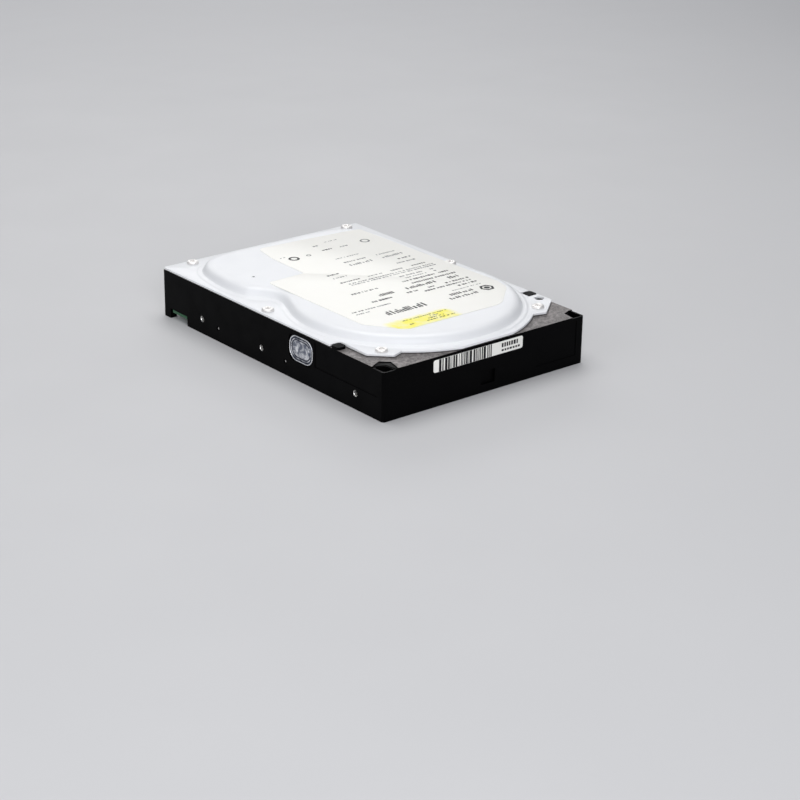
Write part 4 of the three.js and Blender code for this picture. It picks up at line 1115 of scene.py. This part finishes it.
def make_traces(taken):
    """Solder-masked tracks scattered over the underside clear of the chips, and the holes that carry
    them through.
    """
    dice = random.Random(31)
    tracks, holes = Shape(), Shape()
    keep = board_keep_outs()
    for _ in range(TRACE_TRIES):
        x, y = dice.uniform(*TRACE_FIELD["x"]), dice.uniform(*TRACE_FIELD["y"])
        run = dice.uniform(4, 16)
        along_x = dice.random() < 0.5
        half_x, half_y = (run / 2, 0.15) if along_x else (0.15, run / 2)
        inside = (abs(x) + half_x <= TRACE_EDGES["side"] and TRACE_EDGES["front"] < y - half_y
                  and y + half_y < TRACE_EDGES["rear"])
        if not inside or not clear_of(keep, x, y, half_x, half_y):
            continue
        bottom, top = BOARD_FACE - TRACE_RELIEF, BOARD_INSIDE
        for lane in range(dice.choice((1, 3, 4))):
            shift = lane * LANE_PITCH
            near, far = shift - LANE_HALF, shift + LANE_HALF
            if along_x:
                tracks.box(x - half_x, x + half_x, y + near, y + far, bottom, top)
            else:
                tracks.box(x + near, x + far, y - half_y, y + half_y, bottom, top)
        spot = (x + half_x + VIA["away"], y + half_y + VIA["away"])
        if clear_of(taken, *spot, 0.5, 0.5):
            low = bottom - VIA["relief"]
            holes.tube(spot, [(VIA["radius"], low), (VIA["radius"], top), (VIA["bore"], top),
                              (VIA["bore"], low)], 16)
    tracks.finish("board_tracks", "board_green", TRACE)
    holes.finish("board_vias", "board_green", GOLD)


SOLDER_ROW = 65.6
POWER_SOLDER_ROW = 66.5
# Solder cone under the board: radius, depth below the mask.
SOLDER_CONE = [(0, 0), (0.85, 0), (0.6, 0.3), (0.34, 0.9), (0, 1.05)]


def make_solder_rows():
    """Soldered ends of the connector contacts under the rear edge of the board."""
    columns = [header_x(column) for column in range(HEADER_COLUMNS)]
    columns += [JUMPER.x + column * PIN_PITCH for column in OPTION_COLUMNS]
    places = [(x, row) for x in columns for row in (SOLDER_ROW, SOLDER_ROW + PIN_PITCH)]
    places += [(SOCKET_X + step * POWER_PITCH, POWER_SOLDER_ROW) for step in POWER_STEPS]
    cone = [(radius, BOARD_INSIDE - depth) for radius, depth in SOLDER_CONE]
    solder = Shape()
    for place in places:
        solder.turn(place, cone, 16)
    solder.finish("solder_joints", "board_green", TIN, smooth_angle=70)


SILK_MARK = {"gap": 2, "length": 1.6, "width": 0.2}


def make_board_print():
    """White corner marks round the chips."""
    gap, length, width = SILK_MARK["gap"], SILK_MARK["length"], SILK_MARK["width"]
    marks = Shape()
    top, bottom = BOARD_INSIDE, BOARD_FACE - SILK_RELIEF
    for node in CHIP_NODES:
        low, high = mm_box(node)
        for x in (low.x - gap, high.x + gap):
            for y in (low.y - gap, high.y + gap):
                sx = 1 if x < low.x else -1
                sy = 1 if y < low.y else -1
                marks.box(*sorted((x, x + sx * length)), *sorted((y, y + sy * width)), bottom, top)
                marks.box(*sorted((x, x + sx * width)), *sorted((y, y + sy * length)), bottom, top)
    marks.finish("board_silk", "board_green", SILK)


def make_board_details():
    legs = Shape()
    every_side = ((0, 0), (0, 1), (1, 0), (1, 1))
    chip_legs(legs, "controller_chip", every_side, 1.3)
    chip_legs(legs, "memory_chip", every_side[:2], 1.1)
    chip_legs(legs, "motor_driver_chip", every_side, 1.1)
    legs.finish("chip_legs", "board_green", TIN)
    make_traces(make_passives())
    make_solder_rows()
    make_board_print()
    seat = BOARD_FACE - SEAT_GAP
    for node in sorted(BOARD_SCREW_NODES):
        height = seat - mm_box(node)[0].z
        star_screw(node + "_star", node, BOARD_SCREW["radius"], seat, height, BOARD_SCREW["socket"],
                   down=True)


# ---- CAD nodes that keep their shape -----------------------------------------


def dress_nodes():
    """Gives every CAD node its slot's finish."""
    slot_of = {part["node"]: part["material_slot"] for part in frame["record"]["subparts"]}
    for name, node in frame["nodes"].items():
        node.data.materials.clear()
        node.data.materials.append(FINISHES[slot_of[name]].material)


# Width of the rounded edges of the nodes that keep their CAD shape.
EDGE_WIDTHS = {
    "base_casting": 0.3, "data_header": 0.15, "power_socket": 0.25, "option_pin_block": 0.12,
    "jumper_cap": 0.2, "controller_chip": 0.12, "memory_chip": 0.1, "motor_driver_chip": 0.1,
    "circuit_board": 0.06, "motor_flange": 0.2, "spindle_hub": 0.2, "disc_clamp": 0.25,
    "platter_upper": 0.12, "platter_lower": 0.12, "arm_block": 0.12, "voice_coil": 0.4,
    "coil_motor_plate_upper": 0.3, "coil_motor_plate_lower": 0.3, "flex_bracket": 0.25,
    "recirculation_filter": 0.5, "pivot_sleeve": 0.15, "pivot_shaft": 0.2, "platter_spacer": 0.1,
}


def soften_nodes():
    for name, width in EDGE_WIDTHS.items():
        node = frame["nodes"][name]
        weld = node.modifiers.new("weld", "WELD")
        weld.merge_threshold = 1e-6
        flats = node.modifiers.new("flats", "DECIMATE")
        flats.decimate_type = "DISSOLVE"
        flats.angle_limit = math.radians(0.5)
        soften(node, width, 3, 30)


def make_floor():
    """Pale studio floor with a faint, broad unevenness."""
    shape = Shape()
    shape.slab(rectangle(-2000, 2000, -2000, 2000, 10), -20, -0.02)
    finish = Finish("floor_pale", (0.6, 0.6, 0.61), 0.6, Specular_IOR_Level=0.3)
    finish.cloud((0.57, 0.57, 0.58), 120, 3, 0.3, 0.7, 0.3)
    finish.vary(60, 3, 0.55, 0.7)
    shape.build("floor", finish.done())


make_camera()
make_lights()
make_floor()
dress_nodes()
soften_nodes()
make_cover()
make_cover_screws()
make_label()
make_label_print()
make_generic_mark()
make_front_label()
make_side_seal()
make_breather()
make_threads()
make_dimples()
make_pins()
make_board_details()
